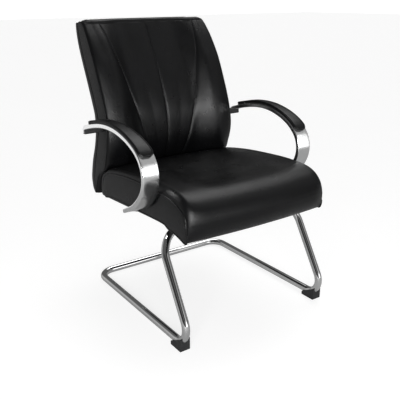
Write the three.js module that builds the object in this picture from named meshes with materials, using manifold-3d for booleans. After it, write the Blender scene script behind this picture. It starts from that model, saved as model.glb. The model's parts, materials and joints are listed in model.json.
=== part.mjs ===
// Sled base visitor chair: a bent tube carries an upholstered seat, back and two metal arm loops.
// Lengths are in millimetres, +Z is up, the chair faces -Y, and X = 0 is its plane of symmetry.
// While it is built, Y = 0 is where the lines of a leg and its runner cross at the toe of the sled.
// "Left" and "right" are as seen by someone looking at the front of the chair.

import * as THREE from "three";
import { mergeVertices } from "three/addons/utils/BufferGeometryUtils.js";
import Module from "manifold-3d";

const wasm = await Module();
wasm.setup();

// Clearances shared by pieces that fit or rest on each other
const restGap = 0.3;
const softGap = 0.5;
const cushionGap = 2;
const cutOverrun = 2;
const mergeTolerance = 0.0001;

// Sled tube
const tubeRadius = 12.5;
const sledHalfWidth = 279;
const runnerLength = 656;
const gliderLift = 7.5;
const legTopHeight = 344;
const legTopSetback = 194;
const legTopInset = 4;
const legTopBendRadius = 94;
const toeBendRadius = 53;
const heelBendRadius = 55;
const tubeEndSpacing = 110;
const tubeBore = 10.5;
const tubeBoreDepth = 30;
const tubeSides = 16;

// Glides under the toes of the sled
const glideWidth = 34.8;
const glideLength = 57;
const glideFrontHeight = 42;
const glideRearHeight = 12;
const glideSetback = 44.5;
const glideEdge = 1.5;
const glideScrewSetback = 92;
const glideScrewRecess = 2;

// Seat cushion
const seatTilt = 0.0669;
const seatHalfWidth = 268;
const seatDepth = 620;
const seatThickness = 123;
const seatFrontSetback = 17;
const seatShoulder = 20;
const seatFrontCorner = 60;
const seatDish = 21;
const seatFlatHalfWidth = 60;
const seatBolsterInset = 33;
const seatRearCrown = 4;
const seatFrontBow = 15;

// Seat board, which ends short of the cushion's edges
const boardThickness = 12.5;
const boardInset = 18;
const boardHalfWidth = seatHalfWidth - boardInset;
const boardFrontSetback = 101;
const boardShortfall = 83;
const boardDepth = seatDepth - boardShortfall;
const boardCorner = 60;

// Seat plate welded on the tube, under the board and ahead of the brackets
const plateThickness = 3;
const plateWidth = 330;
const plateShortfall = 287;
const plateDepth = boardDepth - plateShortfall;
const plateFrontOverhang = 45;
const plateCorner = 20;
const plateBoltInset = 25;

// Backrest, which starts a little below the tube's top run and stands over the rear of the seat
const backDrop = 7;
const backFloorHeight = legTopHeight - backDrop;
const backHeight = 610;
const backSeatOverlap = 61;
const backLumbarSetback = seatFrontSetback + seatDepth - backSeatOverlap;
const backSweep = 170;
const backInset = 2;
const backHalfWidth = seatHalfWidth - backInset;
const wingDepth = 42;
const channelDepth = 7;
const panelBulge = 6;
const seamTopOffset = 197;
const seamFootOffset = 48;
const backEdgeRounding = 26;
const backEdgeRoll = 4;
const backRearCrown = 14;
const backCornerDrop = 6;
const backBoardThickness = 12;
const backBoardInset = 20;
const backBoardHalfWidth = backHalfWidth - backBoardInset;
const backBoardFootGap = 10;
const backBoardTopGap = 34;

// Brackets that join the seat board to the back board
const bracketSpacing = 220;
const bracketWidth = 45;
const bracketThickness = 5;
const bracketSeatLength = 160;
const bracketBackLength = 165;
const bracketBendRadius = 22;

// Arm loops, which stand beside the seat and end behind the backrest
const armWidth = 55;
const armSeatGap = 9;
const armHalfSpacing = seatHalfWidth + armSeatGap + armWidth;
const armRearWidth = 34;
const armThickness = 14;
const armLoopHeight = 240;
const armFrontSetback = 178;
const armRearGap = 2;
const armLoopDepth = backLumbarSetback + armRearGap - armFrontSetback;
const armCrownRise = 293;
const armCrownHeight = legTopHeight + armCrownRise;
const armEdge = 2.5;
const armFlangeHeight = 22;
const armFlangeThickness = 12;
const armFlangeReach = 112;
const armRearDrop = 49;
const armRearHeight = armCrownHeight - armRearDrop;
const armFootWidth = 44;
const armFootThickness = 8;
const armFootInset = 44;
const armFootClearance = 3;
const footBoltSpacing = 18;
const armFootReach = 173;
const armFootSetback = armFrontSetback + armFootReach;
const armBlockWidth = 25;
const armBlockHeight = 46;
const flangeBoltSpacing = 13;

// Arm pads
const padInset = 1.5;
const padBaseThickness = 2.5;
const padRearCrown = 8.5;
const padFrontCrown = 6.5;
const padEndReach = 20;

// Screws and bolts
const boltRadius = 3;
const boltHeadRadius = 5.5;
const boltHeadHeight = 3.6;
const boltSocketRadius = 2.3;
const boltSocketDepth = 2;
const boltSides = 8;
const holeClearance = 0.4;

// Finishes
const chrome = new THREE.MeshStandardMaterial({ color: 0xd9dadc, roughness: 0.07, metalness: 1 });
const polishedAluminium = new THREE.MeshStandardMaterial({ color: 0xdedee0, roughness: 0.2, metalness: 1 });
const blackLeather = new THREE.MeshStandardMaterial({ color: 0x17181a, roughness: 0.42, metalness: 0 });
const blackPlastic = new THREE.MeshStandardMaterial({ color: 0x101112, roughness: 0.62, metalness: 0 });
const blackSteel = new THREE.MeshStandardMaterial({ color: 0x1d1e20, roughness: 0.5, metalness: 0.4 });
const zincSteel = new THREE.MeshStandardMaterial({ color: 0xa9abae, roughness: 0.35, metalness: 1 });
const plywood = new THREE.MeshStandardMaterial({ color: 0xb58c5c, roughness: 0.75, metalness: 0 });

const chair = new THREE.Group();
chair.name = "sled_base_visitor_chair";

// The seat, its board and its plate are built flat in this group, which leans back with the seat.
// Its origin is the axis of the tube's top run.
const seatGroup = new THREE.Group();
seatGroup.position.set(0, legTopSetback, legTopHeight);
seatGroup.rotation.x = -seatTilt;
chair.add(seatGroup);

const plateUnderside = tubeRadius + restGap;
const boardUnderside = plateUnderside + plateThickness + restGap;
const cushionUnderside = boardUnderside + boardThickness + restGap;

function addPiece(parent, name, geometry, material) {
  const mesh = new THREE.Mesh(geometry, material);
  mesh.name = name;
  parent.add(mesh);
  return mesh;
}

// A closed mesh as a solid that can be joined and cut
function solidOf(geometry) {
  const bare = geometry.index ? geometry.toNonIndexed() : geometry.clone();
  bare.deleteAttribute("normal");
  bare.deleteAttribute("uv");
  const merged = mergeVertices(bare, mergeTolerance);
  const solid = new wasm.Manifold(
    new wasm.Mesh({
      numProp: 3,
      vertProperties: merged.attributes.position.array,
      triVerts: new Uint32Array(merged.index.array),
    }),
  );
  return solid;
}

function geometryOf(solid) {
  const mesh = solid.getMesh();
  const geometry = new THREE.BufferGeometry();
  geometry.setAttribute("position", new THREE.BufferAttribute(mesh.vertProperties, 3));
  geometry.setIndex(new THREE.BufferAttribute(mesh.triVerts, 1));
  geometry.computeVertexNormals();
  return geometry;
}

function cut(geometry, ...tools) {
  let solid = solidOf(geometry);
  for (const tool of tools) solid = solid.subtract(solidOf(tool));
  return geometryOf(solid);
}

function join(...pieces) {
  let solid = solidOf(pieces[0]);
  for (const piece of pieces.slice(1)) solid = solid.add(solidOf(piece));
  return geometryOf(solid);
}

function mirrored(geometry) {
  const copy = geometry.clone();
  copy.scale(-1, 1, 1);
  const order = copy.index.array;
  for (let i = 0; i < order.length; i += 3) {
    const first = order[i];
    order[i] = order[i + 1];
    order[i + 1] = first;
  }
  copy.computeVertexNormals();
  return copy;
}

// Faces that close a ring: a zigzag from its start, always over the shorter diagonal
function capFaces(ring) {
  const faces = [];
  let low = 0;
  let high = ring.length - 1;
  while (high - low > 1) {
    const forward = ring[low + 1].distanceTo(ring[high]) < ring[low].distanceTo(ring[high - 1]);
    faces.push([low, forward ? low + 1 : high - 1, high]);
    if (forward) low++;
    else high--;
  }
  return faces;
}

// A skin through rings of equal length, closed at both ends
function skin(rings) {
  const count = rings[0].length;
  const corners = rings.flatMap((ring) => ring.flatMap((p) => [p.x, p.y, p.z]));
  const faces = [];
  for (let i = 0; i + 1 < rings.length; i++) {
    for (let j = 0; j < count; j++) {
      const a = i * count + j;
      const b = i * count + ((j + 1) % count);
      faces.push(a, b, b + count, a, b + count, a + count);
    }
  }
  const last = (rings.length - 1) * count;
  for (const [a, b, c] of capFaces(rings[0])) faces.push(a, c, b);
  for (const [a, b, c] of capFaces(rings.at(-1))) faces.push(last + a, last + b, last + c);
  const geometry = new THREE.BufferGeometry();
  geometry.setAttribute("position", new THREE.Float32BufferAttribute(corners, 3));
  geometry.setIndex(signedVolume(corners, faces) < 0 ? reversed(faces) : faces);
  geometry.computeVertexNormals();
  return geometry;
}

function signedVolume(corners, faces) {
  let volume = 0;
  const at = (i) => new THREE.Vector3(corners[3 * i], corners[3 * i + 1], corners[3 * i + 2]);
  for (let i = 0; i < faces.length; i += 3) {
    volume += at(faces[i]).dot(at(faces[i + 1]).cross(at(faces[i + 2])));
  }
  return volume / 6;
}

function reversed(faces) {
  const turned = [];
  for (let i = 0; i < faces.length; i += 3) turned.push(faces[i], faces[i + 2], faces[i + 1]);
  return turned;
}

// A rounded rectangle in X and Y, as a plate standing on Z = 0
function roundedPlate(width, depth, thickness, corner) {
  const shape = new THREE.Shape();
  const x = width / 2 - corner;
  const y = depth / 2 - corner;
  shape.absarc(x, y, corner, 0, Math.PI / 2);
  shape.absarc(-x, y, corner, Math.PI / 2, Math.PI);
  shape.absarc(-x, -y, corner, Math.PI, 1.5 * Math.PI);
  shape.absarc(x, -y, corner, 1.5 * Math.PI, 2 * Math.PI);
  return new THREE.ExtrudeGeometry(shape, { depth: thickness, bevelEnabled: false, curveSegments: 6 });
}

// An outline in Y and Z, drawn out along X to both sides of the middle
function drawnAcross(outline, width) {
  const shape = new THREE.Shape(outline.map(([y, z]) => new THREE.Vector2(y, z)));
  const geometry = new THREE.ExtrudeGeometry(shape, { depth: width, bevelEnabled: false });
  geometry.translate(0, 0, -width / 2);
  geometry.rotateY(Math.PI / 2);
  geometry.rotateX(Math.PI / 2);
  return geometry;
}

function rod(radius, length, sides) {
  const geometry = new THREE.CylinderGeometry(radius, radius, length, sides);
  geometry.rotateX(Math.PI / 2);
  geometry.translate(0, 0, length / 2);
  return geometry;
}

// A bolt whose head rests on Z = 0 from below and whose shank points up
function bolt(length) {
  const profile = [
    [0, -boltHeadHeight + boltSocketDepth],
    [boltSocketRadius, -boltHeadHeight + boltSocketDepth],
    [boltSocketRadius, -boltHeadHeight],
    [boltHeadRadius, -boltHeadHeight],
    [boltHeadRadius, 0],
    [boltRadius, 0],
    [boltRadius, length],
    [0, length],
  ].map(([r, h]) => new THREE.Vector2(r, h));
  const geometry = new THREE.LatheGeometry(profile, boltSides);
  geometry.rotateX(Math.PI / 2);
  return geometry;
}

function boltHole(length) {
  const hole = rod(boltRadius + holeClearance, length + 2 * cutOverrun, boltSides);
  hole.translate(0, 0, -cutOverrun);
  return hole;
}

// Turns a piece that points up so that it points along the given direction, then moves it
function aimed(geometry, position, direction) {
  const up = new THREE.Vector3(0, 0, 1);
  const turn = new THREE.Quaternion().setFromUnitVectors(up, direction.clone().normalize());
  return geometry.clone().applyQuaternion(turn).translate(position.x, position.y, position.z);
}

// Smooth curve through [place, value] pairs, read at any place
function curveThrough(pairs) {
  return (place) => {
    let i = 0;
    while (i < pairs.length - 2 && place > pairs[i + 1][0]) i++;
    const slope = (a, b) => (pairs[b][1] - pairs[a][1]) / (pairs[b][0] - pairs[a][0]);
    const before = i > 0 ? slope(i - 1, i + 1) : slope(i, i + 1);
    const after = i < pairs.length - 2 ? slope(i, i + 2) : slope(i, i + 1);
    const span = pairs[i + 1][0] - pairs[i][0];
    const t = Math.min(1, Math.max(0, (place - pairs[i][0]) / span));
    const rest = 1 - t;
    return (
      pairs[i][1] * rest * rest * (1 + 2 * t) +
      pairs[i + 1][1] * t * t * (3 - 2 * t) +
      before * span * t * rest * rest -
      after * span * t * t * rest
    );
  };
}

// Straight lines through [place, value] pairs, read at any place
function lineThrough(pairs) {
  return (place) => {
    let i = 0;
    while (i < pairs.length - 2 && place > pairs[i + 1][0]) i++;
    const share = (place - pairs[i][0]) / (pairs[i + 1][0] - pairs[i][0]);
    return pairs[i][1] + (pairs[i + 1][1] - pairs[i][1]) * share;
  };
}

// The middle line of the sled tube, from one end under the seat round both runners to the other
class SledLine extends THREE.Curve {
  constructor(corners, radii, stepsPerBend) {
    super();
    this.stations = [];
    const last = corners.length - 1;
    this.add(corners[0], corners[1].clone().sub(corners[0]).normalize());
    for (let i = 1; i < last; i++) {
      const into = corners[i].clone().sub(corners[i - 1]).normalize();
      const out = corners[i + 1].clone().sub(corners[i]).normalize();
      const turn = into.angleTo(out);
      const reach = radii[i - 1] * Math.tan(turn / 2);
      const start = corners[i].clone().addScaledVector(into, -reach);
      const inward = out.clone().addScaledVector(into, -out.dot(into)).normalize();
      for (let k = 0; k <= stepsPerBend; k++) {
        const angle = (turn * k) / stepsPerBend;
        const point = start
          .clone()
          .addScaledVector(into, radii[i - 1] * Math.sin(angle))
          .addScaledVector(inward, radii[i - 1] * (1 - Math.cos(angle)));
        const along = into.clone().multiplyScalar(Math.cos(angle)).addScaledVector(inward, Math.sin(angle));
        this.add(point, along);
      }
    }
    this.add(corners[last], corners[last].clone().sub(corners[last - 1]).normalize());
  }
  add(point, along) {
    this.stations.push({ point, along });
  }
  get steps() {
    return this.stations.length - 1;
  }
  station(t) {
    return this.stations[Math.min(this.steps, Math.max(0, Math.round(t * this.steps)))];
  }
  getPoint(t) {
    return this.station(t).point.clone();
  }
  getPointAt(t) {
    return this.getPoint(t);
  }
  getTangentAt(t) {
    return this.station(t).along.clone();
  }
}

function sledLine() {
  const side = (s) => [
    new THREE.Vector3(s * (sledHalfWidth - legTopInset), legTopSetback, legTopHeight),
    new THREE.Vector3(s * sledHalfWidth, 0, tubeRadius + gliderLift),
    new THREE.Vector3(s * sledHalfWidth, runnerLength, tubeRadius),
  ];
  const end = (s) => new THREE.Vector3((s * tubeEndSpacing) / 2, legTopSetback, legTopHeight);
  const corners = [end(-1), ...side(-1), ...side(1).reverse(), end(1)];
  const sideRadii = [legTopBendRadius, toeBendRadius, heelBendRadius];
  const radii = [...sideRadii, ...sideRadii.slice().reverse()];
  return new SledLine(corners, radii, 8);
}

function sledTube(radius) {
  const line = sledLine();
  const round = new THREE.Shape().absarc(0, 0, radius, 0, 2 * Math.PI);
  const options = { steps: line.steps, extrudePath: line, curveSegments: tubeSides / 2 };
  return new THREE.ExtrudeGeometry(round, options);
}

function tubeEndBore(s) {
  const bore = rod(tubeBore, tubeBoreDepth + cutOverrun, tubeSides);
  const start = new THREE.Vector3(s * (tubeEndSpacing / 2 - cutOverrun), legTopSetback, legTopHeight);
  return aimed(bore, start, new THREE.Vector3(s, 0, 0));
}

// The screw goes up through the glide into the tube, square to the runner
const glideScrewLength = gliderLift + tubeRadius - glideScrewRecess;

function glideScrewPlace(s) {
  return new THREE.Vector3(s * sledHalfWidth, glideScrewSetback, glideScrewRecess + boltHeadHeight);
}

function buildSled() {
  const up = new THREE.Vector3(0, 0, 1);
  const holes = [-1, 1].map((s) => aimed(boltHole(glideScrewLength), glideScrewPlace(s), up));
  const tube = cut(sledTube(tubeRadius), tubeEndBore(-1), tubeEndBore(1), ...holes);
  addPiece(chair, "sled_frame", tube, chrome);
}

// Plastic plugs that close the tube ends
function buildTubePlugs() {
  for (const [s, side] of [[-1, "left"], [1, "right"]]) {
    const capThickness = tubeRadius - tubeBore;
    const profile = [
      [0, -capThickness],
      [tubeRadius, -capThickness],
      [tubeRadius, -restGap],
      [tubeBore - restGap, -restGap],
      [tubeBore - restGap, tubeBoreDepth / 2],
      [0, tubeBoreDepth / 2],
    ].map(([r, h]) => new THREE.Vector2(r, h));
    const plug = new THREE.LatheGeometry(profile, tubeSides);
    plug.rotateX(Math.PI / 2);
    const place = new THREE.Vector3((s * tubeEndSpacing) / 2, legTopSetback, legTopHeight);
    addPiece(chair, "tube_plug_" + side, aimed(plug, place, new THREE.Vector3(s, 0, 0)), blackPlastic);
  }
}

// A wedge of plastic that hugs the underside of the toe bend and stands flat on the floor
function buildGlides() {
  const outline = [
    [glideSetback + glideEdge, 0],
    [glideSetback + glideLength - glideEdge, 0],
    [glideSetback + glideLength, glideEdge],
    [glideSetback + glideLength, glideRearHeight],
    [glideSetback + 2 * glideEdge, glideFrontHeight],
    [glideSetback, glideFrontHeight],
    [glideSetback, glideEdge],
  ];
  const groove = sledTube(tubeRadius + restGap);
  for (const [s, side] of [[-1, "left"], [1, "right"]]) {
    const block = drawnAcross(outline, glideWidth);
    block.translate(s * sledHalfWidth, 0, 0);
    const up = new THREE.Vector3(0, 0, 1);
    const headDepth = glideScrewRecess + boltHeadHeight + cutOverrun;
    const headRoom = rod(boltHeadRadius + holeClearance, headDepth, boltSides);
    headRoom.translate(s * sledHalfWidth, glideScrewSetback, -cutOverrun);
    const shank = aimed(boltHole(glideScrewLength), glideScrewPlace(s), up);
    addPiece(chair, "glide_" + side, cut(block, groove, headRoom, shank), blackPlastic);
    addPiece(chair, "glide_screw_" + side, aimed(bolt(glideScrewLength), glideScrewPlace(s), up), zincSteel);
  }
}

// Places, in the seat's own directions, of the bolts that rise into the seat board
const plateCentre = plateDepth / 2 - plateFrontOverhang;
const plateBoltSide = plateWidth / 2 - plateBoltInset;
const plateBoltReach = plateDepth / 2 - plateBoltInset;
const plateBoltPlaces = [-1, 1].flatMap((s) =>
  [-1, 1].map((t) => [s * plateBoltSide, plateCentre + t * plateBoltReach]),
);
const seatRear = boardFrontSetback - legTopSetback + boardDepth;
const bracketBoltShares = [0.3, 0.75];
const bracketBoltPlaces = [-1, 1].flatMap((s) =>
  bracketBoltShares.map((share) => [(s * bracketSpacing) / 2, seatRear - bracketSeatLength * share]),
);
const seatBoltLength = plateThickness + boardThickness;

function buildSeatPlate() {
  const plate = roundedPlate(plateWidth, plateDepth, plateThickness, plateCorner);
  plate.translate(0, plateCentre, plateUnderside);
  const holes = plateBoltPlaces.map(([x, y]) => boltHole(seatBoltLength).translate(x, y, plateUnderside));
  addPiece(seatGroup, "seat_plate", cut(plate, ...holes), blackSteel);
  plateBoltPlaces.forEach(([x, y], i) => {
    const screw = bolt(seatBoltLength - restGap).translate(x, y, plateUnderside - restGap);
    addPiece(seatGroup, "seat_plate_bolt_" + (i + 1), screw, zincSteel);
  });
}

// Each arm ends in a flat tongue that lies on the seat board under the cushion
const footSetback = armFootSetback - legTopSetback;
const footBoltPlaces = [-1, 1].flatMap((s) =>
  [-1, 1].map((t) => [s * (boardHalfWidth - armFootInset / 2), footSetback + (t * footBoltSpacing) / 2]),
);

// The seat board, grown by some room at its edges
function seatBoardPlate(room) {
  const width = 2 * (boardHalfWidth + room);
  const plate = roundedPlate(width, boardDepth + 2 * room, boardThickness, boardCorner + room);
  return plate.translate(0, boardFrontSetback - legTopSetback + boardDepth / 2, boardUnderside);
}

function buildSeatBoard() {
  const places = [...plateBoltPlaces, ...bracketBoltPlaces, ...footBoltPlaces];
  const holes = places.map(([x, y]) => boltHole(boardThickness).translate(x, y, boardUnderside));
  addPiece(seatGroup, "seat_board", cut(seatBoardPlate(0), ...holes), blackPlastic);
}

// Side view of the seat cushion, from its front edge over the top to the rear and along the underside.
// Each row: shares of the seat's depth and thickness along the middle, then the same for the side seam.
const seatTopShares = [
  [0.0, 0.235, 0.036, 0.15],
  [0.004, 0.38, 0.041, 0.26],
  [0.02, 0.56, 0.053, 0.4],
  [0.055, 0.735, 0.08, 0.525],
  [0.107, 0.862, 0.122, 0.62],
  [0.175, 0.927, 0.181, 0.7],
  [0.258, 0.964, 0.26, 0.757],
  [0.344, 0.984, 0.345, 0.795],
  [0.52, 0.99, 0.52, 0.828],
  [0.663, 0.964, 0.663, 0.82],
  [0.796, 0.911, 0.796, 0.758],
  [0.88, 0.84, 0.868, 0.67],
  [0.94, 0.69, 0.895, 0.585],
  [0.968, 0.52, 0.91, 0.45],
  [0.988, 0.28, 0.918, 0.25],
  [0.994, 0.08, 0.918, 0.08],
  [0.985, 0.0, 0.91, 0.0],
  [0.8, 0.0, 0.8, 0.06],
  [0.6, 0.0, 0.6, 0.05],
  [0.4, 0.0, 0.4, 0.03],
];
// The front lip hangs in front of the board and round its corners. Each row: shares of the depth from
// the front edge to the board and of the seat's thickness, for the middle and then for the side seam.
const seatLipShares = [
  [1.0, 0.0, 1.75, 0.0],
  [0.96, -0.12, 1.5, -0.08],
  [0.8, -0.2, 1.1, -0.12],
  [0.6, -0.25, 0.7, -0.2],
  [0.4, -0.26, 0.42, -0.26],
  [0.18, -0.13, 0.3, -0.15],
  [0.04, 0.06, 0.27, 0.01],
];
const seatCornerReachShare = 0.25;
const seatDishLowShare = 0.6;
const seatDishHighShare = 0.9;
const seatDishFrontShare = 0.2;
const seatDishRearShare = 0.9;
const seatHollowStartShare = 0.065;
const seatHollowFullShare = 0.32;
const seatHollowFadeShare = 0.42;
const seatCrownFullShare = 0.87;

function quarterRound(share) {
  const rest = 1 - Math.min(1, Math.max(0, share));
  return Math.sqrt(1 - rest * rest);
}

// Share, from 0 to 1, of the way from one place to another
function between(place, start, end) {
  return Math.min(1, Math.max(0, (place - start) / (end - start)));
}

// The same share, eased in and out at its two ends
function eased(place, start, end) {
  const share = between(place, start, end);
  return share * share * (3 - 2 * share);
}

function seatSection(x) {
  const inset = seatHalfWidth - Math.abs(x);
  const across = Math.abs(x) / (seatHalfWidth - seatShoulder);
  const arch = Math.max(0, 1 - across * across);
  const inHollow = 1 - eased(Math.abs(x), seatFlatHalfWidth, seatHalfWidth - seatBolsterInset);
  const lipDepth = boardFrontSetback - seatFrontSetback - softGap;
  const sized = (shares, length) =>
    shares.map(([depth, rise, sideDepth, sideRise]) => [depth * length, rise, sideDepth * length, sideRise]);
  const rows = [...sized(seatTopShares, seatDepth), ...sized(seatLipShares, lipDepth)];
  return rows.map(([depth, rise, sideDepth, sideRise]) => {
    const rearward = eased(depth, seatDepth * seatHollowFadeShare, seatDepth * seatCrownFullShare);
    const inward = eased(depth, seatDepth * seatHollowStartShare, seatDepth * seatHollowFullShare);
    const dish = seatDish * inward * (1 - rearward) * inHollow - seatRearCrown * rearward * arch;
    const front = 1 - between(depth, 0, seatDepth * seatCornerReachShare);
    const corner = seatShoulder + (seatFrontCorner - seatShoulder) * front;
    const full = quarterRound(inset / seatShoulder);
    const ahead = quarterRound(inset / corner);
    const onTop = between(rise, seatDishLowShare, seatDishHighShare);
    const ofFront = between(depth, 0, seatDepth * seatDishFrontShare);
    const ofRear = between(depth, seatDepth, seatDepth * seatDishRearShare);
    const y = sideDepth + (depth - sideDepth) * ahead - seatFrontBow * (1 - across * across) * front * ahead;
    const z = (sideRise + (rise - sideRise) * full) * seatThickness - dish * onTop * ofFront * ofRear;
    return aheadOfBackrest(x, y + seatFrontSetback - legTopSetback, z + cushionUnderside);
  });
}

// A point of the seat cushion, kept clear of the front of the backrest
function aheadOfBackrest(x, y, z) {
  const sine = Math.sin(seatTilt);
  const cosine = Math.cos(seatTilt);
  const setback = legTopSetback + y * cosine + z * sine;
  const height = legTopHeight - y * sine + z * cosine;
  const limit = backEnvelope(x, backShareAt(height)) - cushionGap;
  return new THREE.Vector3(x, y - Math.max(0, setback - limit) / cosine, z);
}

function mirroredStations(halfShares) {
  return [...halfShares.map((share) => -share), ...halfShares.slice(0, -1).reverse()];
}

const seatStationShares = mirroredStations([
  1, 0.996, 0.984, 0.965, 0.94, 0.91, 0.875, 0.81, 0.72, 0.58, 0.4, 0.2, 0,
]);

function buildSeatCushion() {
  const cushion = skin(seatStationShares.map((share) => seatSection(share * seatHalfWidth)));
  const slotHeight = armFootThickness + restGap + softGap;
  const slotDepth = seatHalfWidth - boardHalfWidth + armFootInset + softGap + cutOverrun;
  const slots = [-1, 1].map((s) => {
    const slot = new THREE.BoxGeometry(slotDepth, armFootWidth + 2 * softGap, slotHeight + cutOverrun);
    const middle = cushionUnderside + (slotHeight - cutOverrun) / 2;
    return slot.translate(s * (seatHalfWidth + cutOverrun - slotDepth / 2), footSetback, middle);
  });
  const boardRoom = seatBoardPlate(softGap).translate(0, 0, restGap);
  addPiece(seatGroup, "seat_cushion", cut(cushion, boardRoom, ...slots), blackLeather);
}

// Side view of the backrest: shares of its height, with the setback behind the lumbar point as shares of
// the backrest's sweep
const backMiddleShares = [
  [0.0, 0.45],
  [0.06, 0.39],
  [0.14, 0.26],
  [0.215, 0.116],
  [0.3, 0.018],
  [0.39, 0.0],
  [0.48, 0.03],
  [0.57, 0.135],
  [0.667, 0.288],
  [0.769, 0.476],
  [0.865, 0.67],
  [0.93, 0.8],
  [1.0, 0.95],
];
const backBoardShares = [
  [0.0, 0.5],
  [0.1, 0.5],
  [0.2, 0.41],
  [0.3, 0.265],
  [0.39, 0.17],
  [0.48, 0.2],
  [0.57, 0.33],
  [0.667, 0.51],
  [0.769, 0.7],
  [0.865, 0.88],
  [0.93, 0.98],
  [1.0, 1.07],
];
const backRearShares = [
  [0.0, 0.63],
  [0.02, 0.75],
  [0.06, 0.805],
  [0.1, 0.8],
  [0.2, 0.68],
  [0.3, 0.51],
  [0.39, 0.44],
  [0.48, 0.5],
  [0.57, 0.65],
  [0.667, 0.8],
  [0.769, 0.975],
  [0.865, 1.14],
  [0.93, 1.22],
  [0.975, 1.23],
  [1.0, 1.165],
];
const backWidthShares = [
  [0.0, 1.0],
  [0.35, 1.0],
  [0.5, 0.982],
  [0.75, 0.975],
  [0.87, 0.965],
  [1.0, 0.945],
];
const wingShares = [
  [0.0, 0.1],
  [0.1, 0.22],
  [0.14, 0.4],
  [0.18, 0.98],
  [0.25, 1.0],
  [0.37, 1.1],
  [0.47, 1.05],
  [0.75, 1.05],
  [0.82, 0.96],
  [0.89, 0.82],
  [0.95, 0.6],
  [1.0, 0.38],
];
const backMiddle = curveThrough(backMiddleShares);
const backBoard = lineThrough(backBoardShares);
const backRear = curveThrough(backRearShares);
const wingReach = curveThrough(wingShares);
const backWidth = curveThrough(backWidthShares);

function backAt(share, curve) {
  return backLumbarSetback + backSweep * curve(share);
}

function smooth(t) {
  return t * t * (3 - 2 * t);
}

function backShareAt(height) {
  return (height - backFloorHeight) / backHeight;
}

// Front face of the backrest: flat in the middle, forward at the wings, with three sewn channels.
// "s" runs from -1 to 1 across it, and its seams are at the shares below.
const backSeamShare = 0.5;
const wingStartShare = 0.42;
const wingFullShare = 0.78;
const backRollStartShare = 0.95;
const channelHalfWidthShare = 0.03;

function backSeamOffset(height) {
  return seamFootOffset + (seamTopOffset - seamFootOffset) * height;
}

function backEdgeOffset(height) {
  return backHalfWidth * backWidth(height);
}

function backAcross(s, height) {
  const seam = backSeamOffset(height);
  const size = Math.abs(s);
  const outer = between(size, backSeamShare, 1);
  return Math.sign(s) * (seam * between(size, 0, backSeamShare) + (backEdgeOffset(height) - seam) * outer);
}

// The front face without its channels, which the seat cushion stays clear of
function backEnvelope(x, height) {
  const across = Math.abs(x) / backEdgeOffset(height);
  const wing = wingDepth * wingReach(height) * smooth(between(across, wingStartShare, wingFullShare));
  return backAt(height, backMiddle) - wing - panelBulge;
}

function backFrontSetback(s, height) {
  const size = Math.abs(s);
  const nearSeam = Math.min(size, Math.abs(size - backSeamShare));
  const channel = channelDepth * Math.exp(-((nearSeam / channelHalfWidthShare) ** 2));
  const flatness = 1 - Math.sin(Math.PI * Math.min(1, (2 * nearSeam) / backSeamShare));
  const roll = backEdgeRoll * smooth(between(size, backRollStartShare, 1));
  return backEnvelope(backAcross(s, height), height) + panelBulge * flatness + channel + roll;
}

const backFrontHeightShares = [
  0.0, 0.05, 0.1, 0.15, 0.2, 0.26, 0.32, 0.39, 0.46, 0.53, 0.6, 0.68, 0.76, 0.84, 0.9, 0.95, 0.98,
];
const backTopShare = 0.98;
const backCrownShares = [[0.12, 0.7], [0.35, 1.0], [0.7, 0.95], [0.93, 0.6]];
const backRearHeightShares = backBoardShares.map(([h]) => Math.min(h, backTopShare)).reverse();
const backStationShares = mirroredStations([
  1, 0.985, 0.96, 0.92, 0.85, 0.75, 0.64, 0.55, 0.525, 0.5, 0.475, 0.45, 0.35, 0.2, 0.06, 0.03, 0,
]);

const backCornerReachShare = 0.8;

// The top edge falls away a little towards its two corners
function backCornerFall(s) {
  return backCornerDrop * smooth(between(Math.abs(s), backCornerReachShare, 1));
}

function backCushionRing(s) {
  const ring = backFrontHeightShares.map((h) => {
    const x = backAcross(s, h);
    return new THREE.Vector3(x, backFrontSetback(s, h), backFloorHeight + backHeight * h);
  });
  const crownFront = backFrontSetback(s, backTopShare);
  const crownRear = backAt(backTopShare, backBoard);
  for (const [reachShare, riseShare] of backCrownShares) {
    const y = crownFront + (crownRear - crownFront) * reachShare;
    const crownShare = backTopShare + (1 - backTopShare) * riseShare;
    const z = backFloorHeight + backHeight * crownShare - backCornerFall(s);
    ring.push(new THREE.Vector3(backAcross(s, backTopShare), y, z));
  }
  for (const h of backRearHeightShares) {
    ring.push(new THREE.Vector3(backAcross(s, h), backAt(h, backBoard), backFloorHeight + backHeight * h));
  }
  return ring;
}

// Hidden wood blocks carry the rear flange of each arm off the back board
const armRearSetback = armFrontSetback + armLoopDepth;
const flangeMiddle = armRearHeight + armFlangeHeight / 2;
const flangeInnerEdge = armHalfSpacing - armFlangeReach;
const blockMiddle = flangeInnerEdge + armBlockWidth / 2;

// Room in the cushion: a slot for the flange, then a wider pocket for the block and the bolt heads
function armPocket(s) {
  const blockTop = backShareAt(flangeMiddle + armBlockHeight / 2 + softGap);
  const far = backAt(blockTop, backBoard) + cutOverrun;
  const near = armRearSetback - boltHeadHeight - softGap;
  const slotWidth = armFlangeReach;
  const slotMiddle = armRearSetback + armFlangeThickness / 2;
  const slotHeight = armFlangeHeight + 2 * softGap;
  const slot = new THREE.BoxGeometry(slotWidth, armFlangeThickness + 2 * softGap, slotHeight);
  slot.translate(s * (flangeInnerEdge + slotWidth / 2), slotMiddle, flangeMiddle);
  const pocket = new THREE.BoxGeometry(armBlockWidth + 2 * softGap, far - near, armBlockHeight + 2 * softGap);
  pocket.translate(s * blockMiddle, (far + near) / 2, flangeMiddle);
  return [slot, pocket];
}

function buildBackCushion() {
  const rings = backStationShares.map((s) => backCushionRing(s));
  const cushion = cut(skin(rings), ...armPocket(-1), ...armPocket(1));
  addPiece(chair, "back_cushion", cushion, blackLeather);
}

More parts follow.
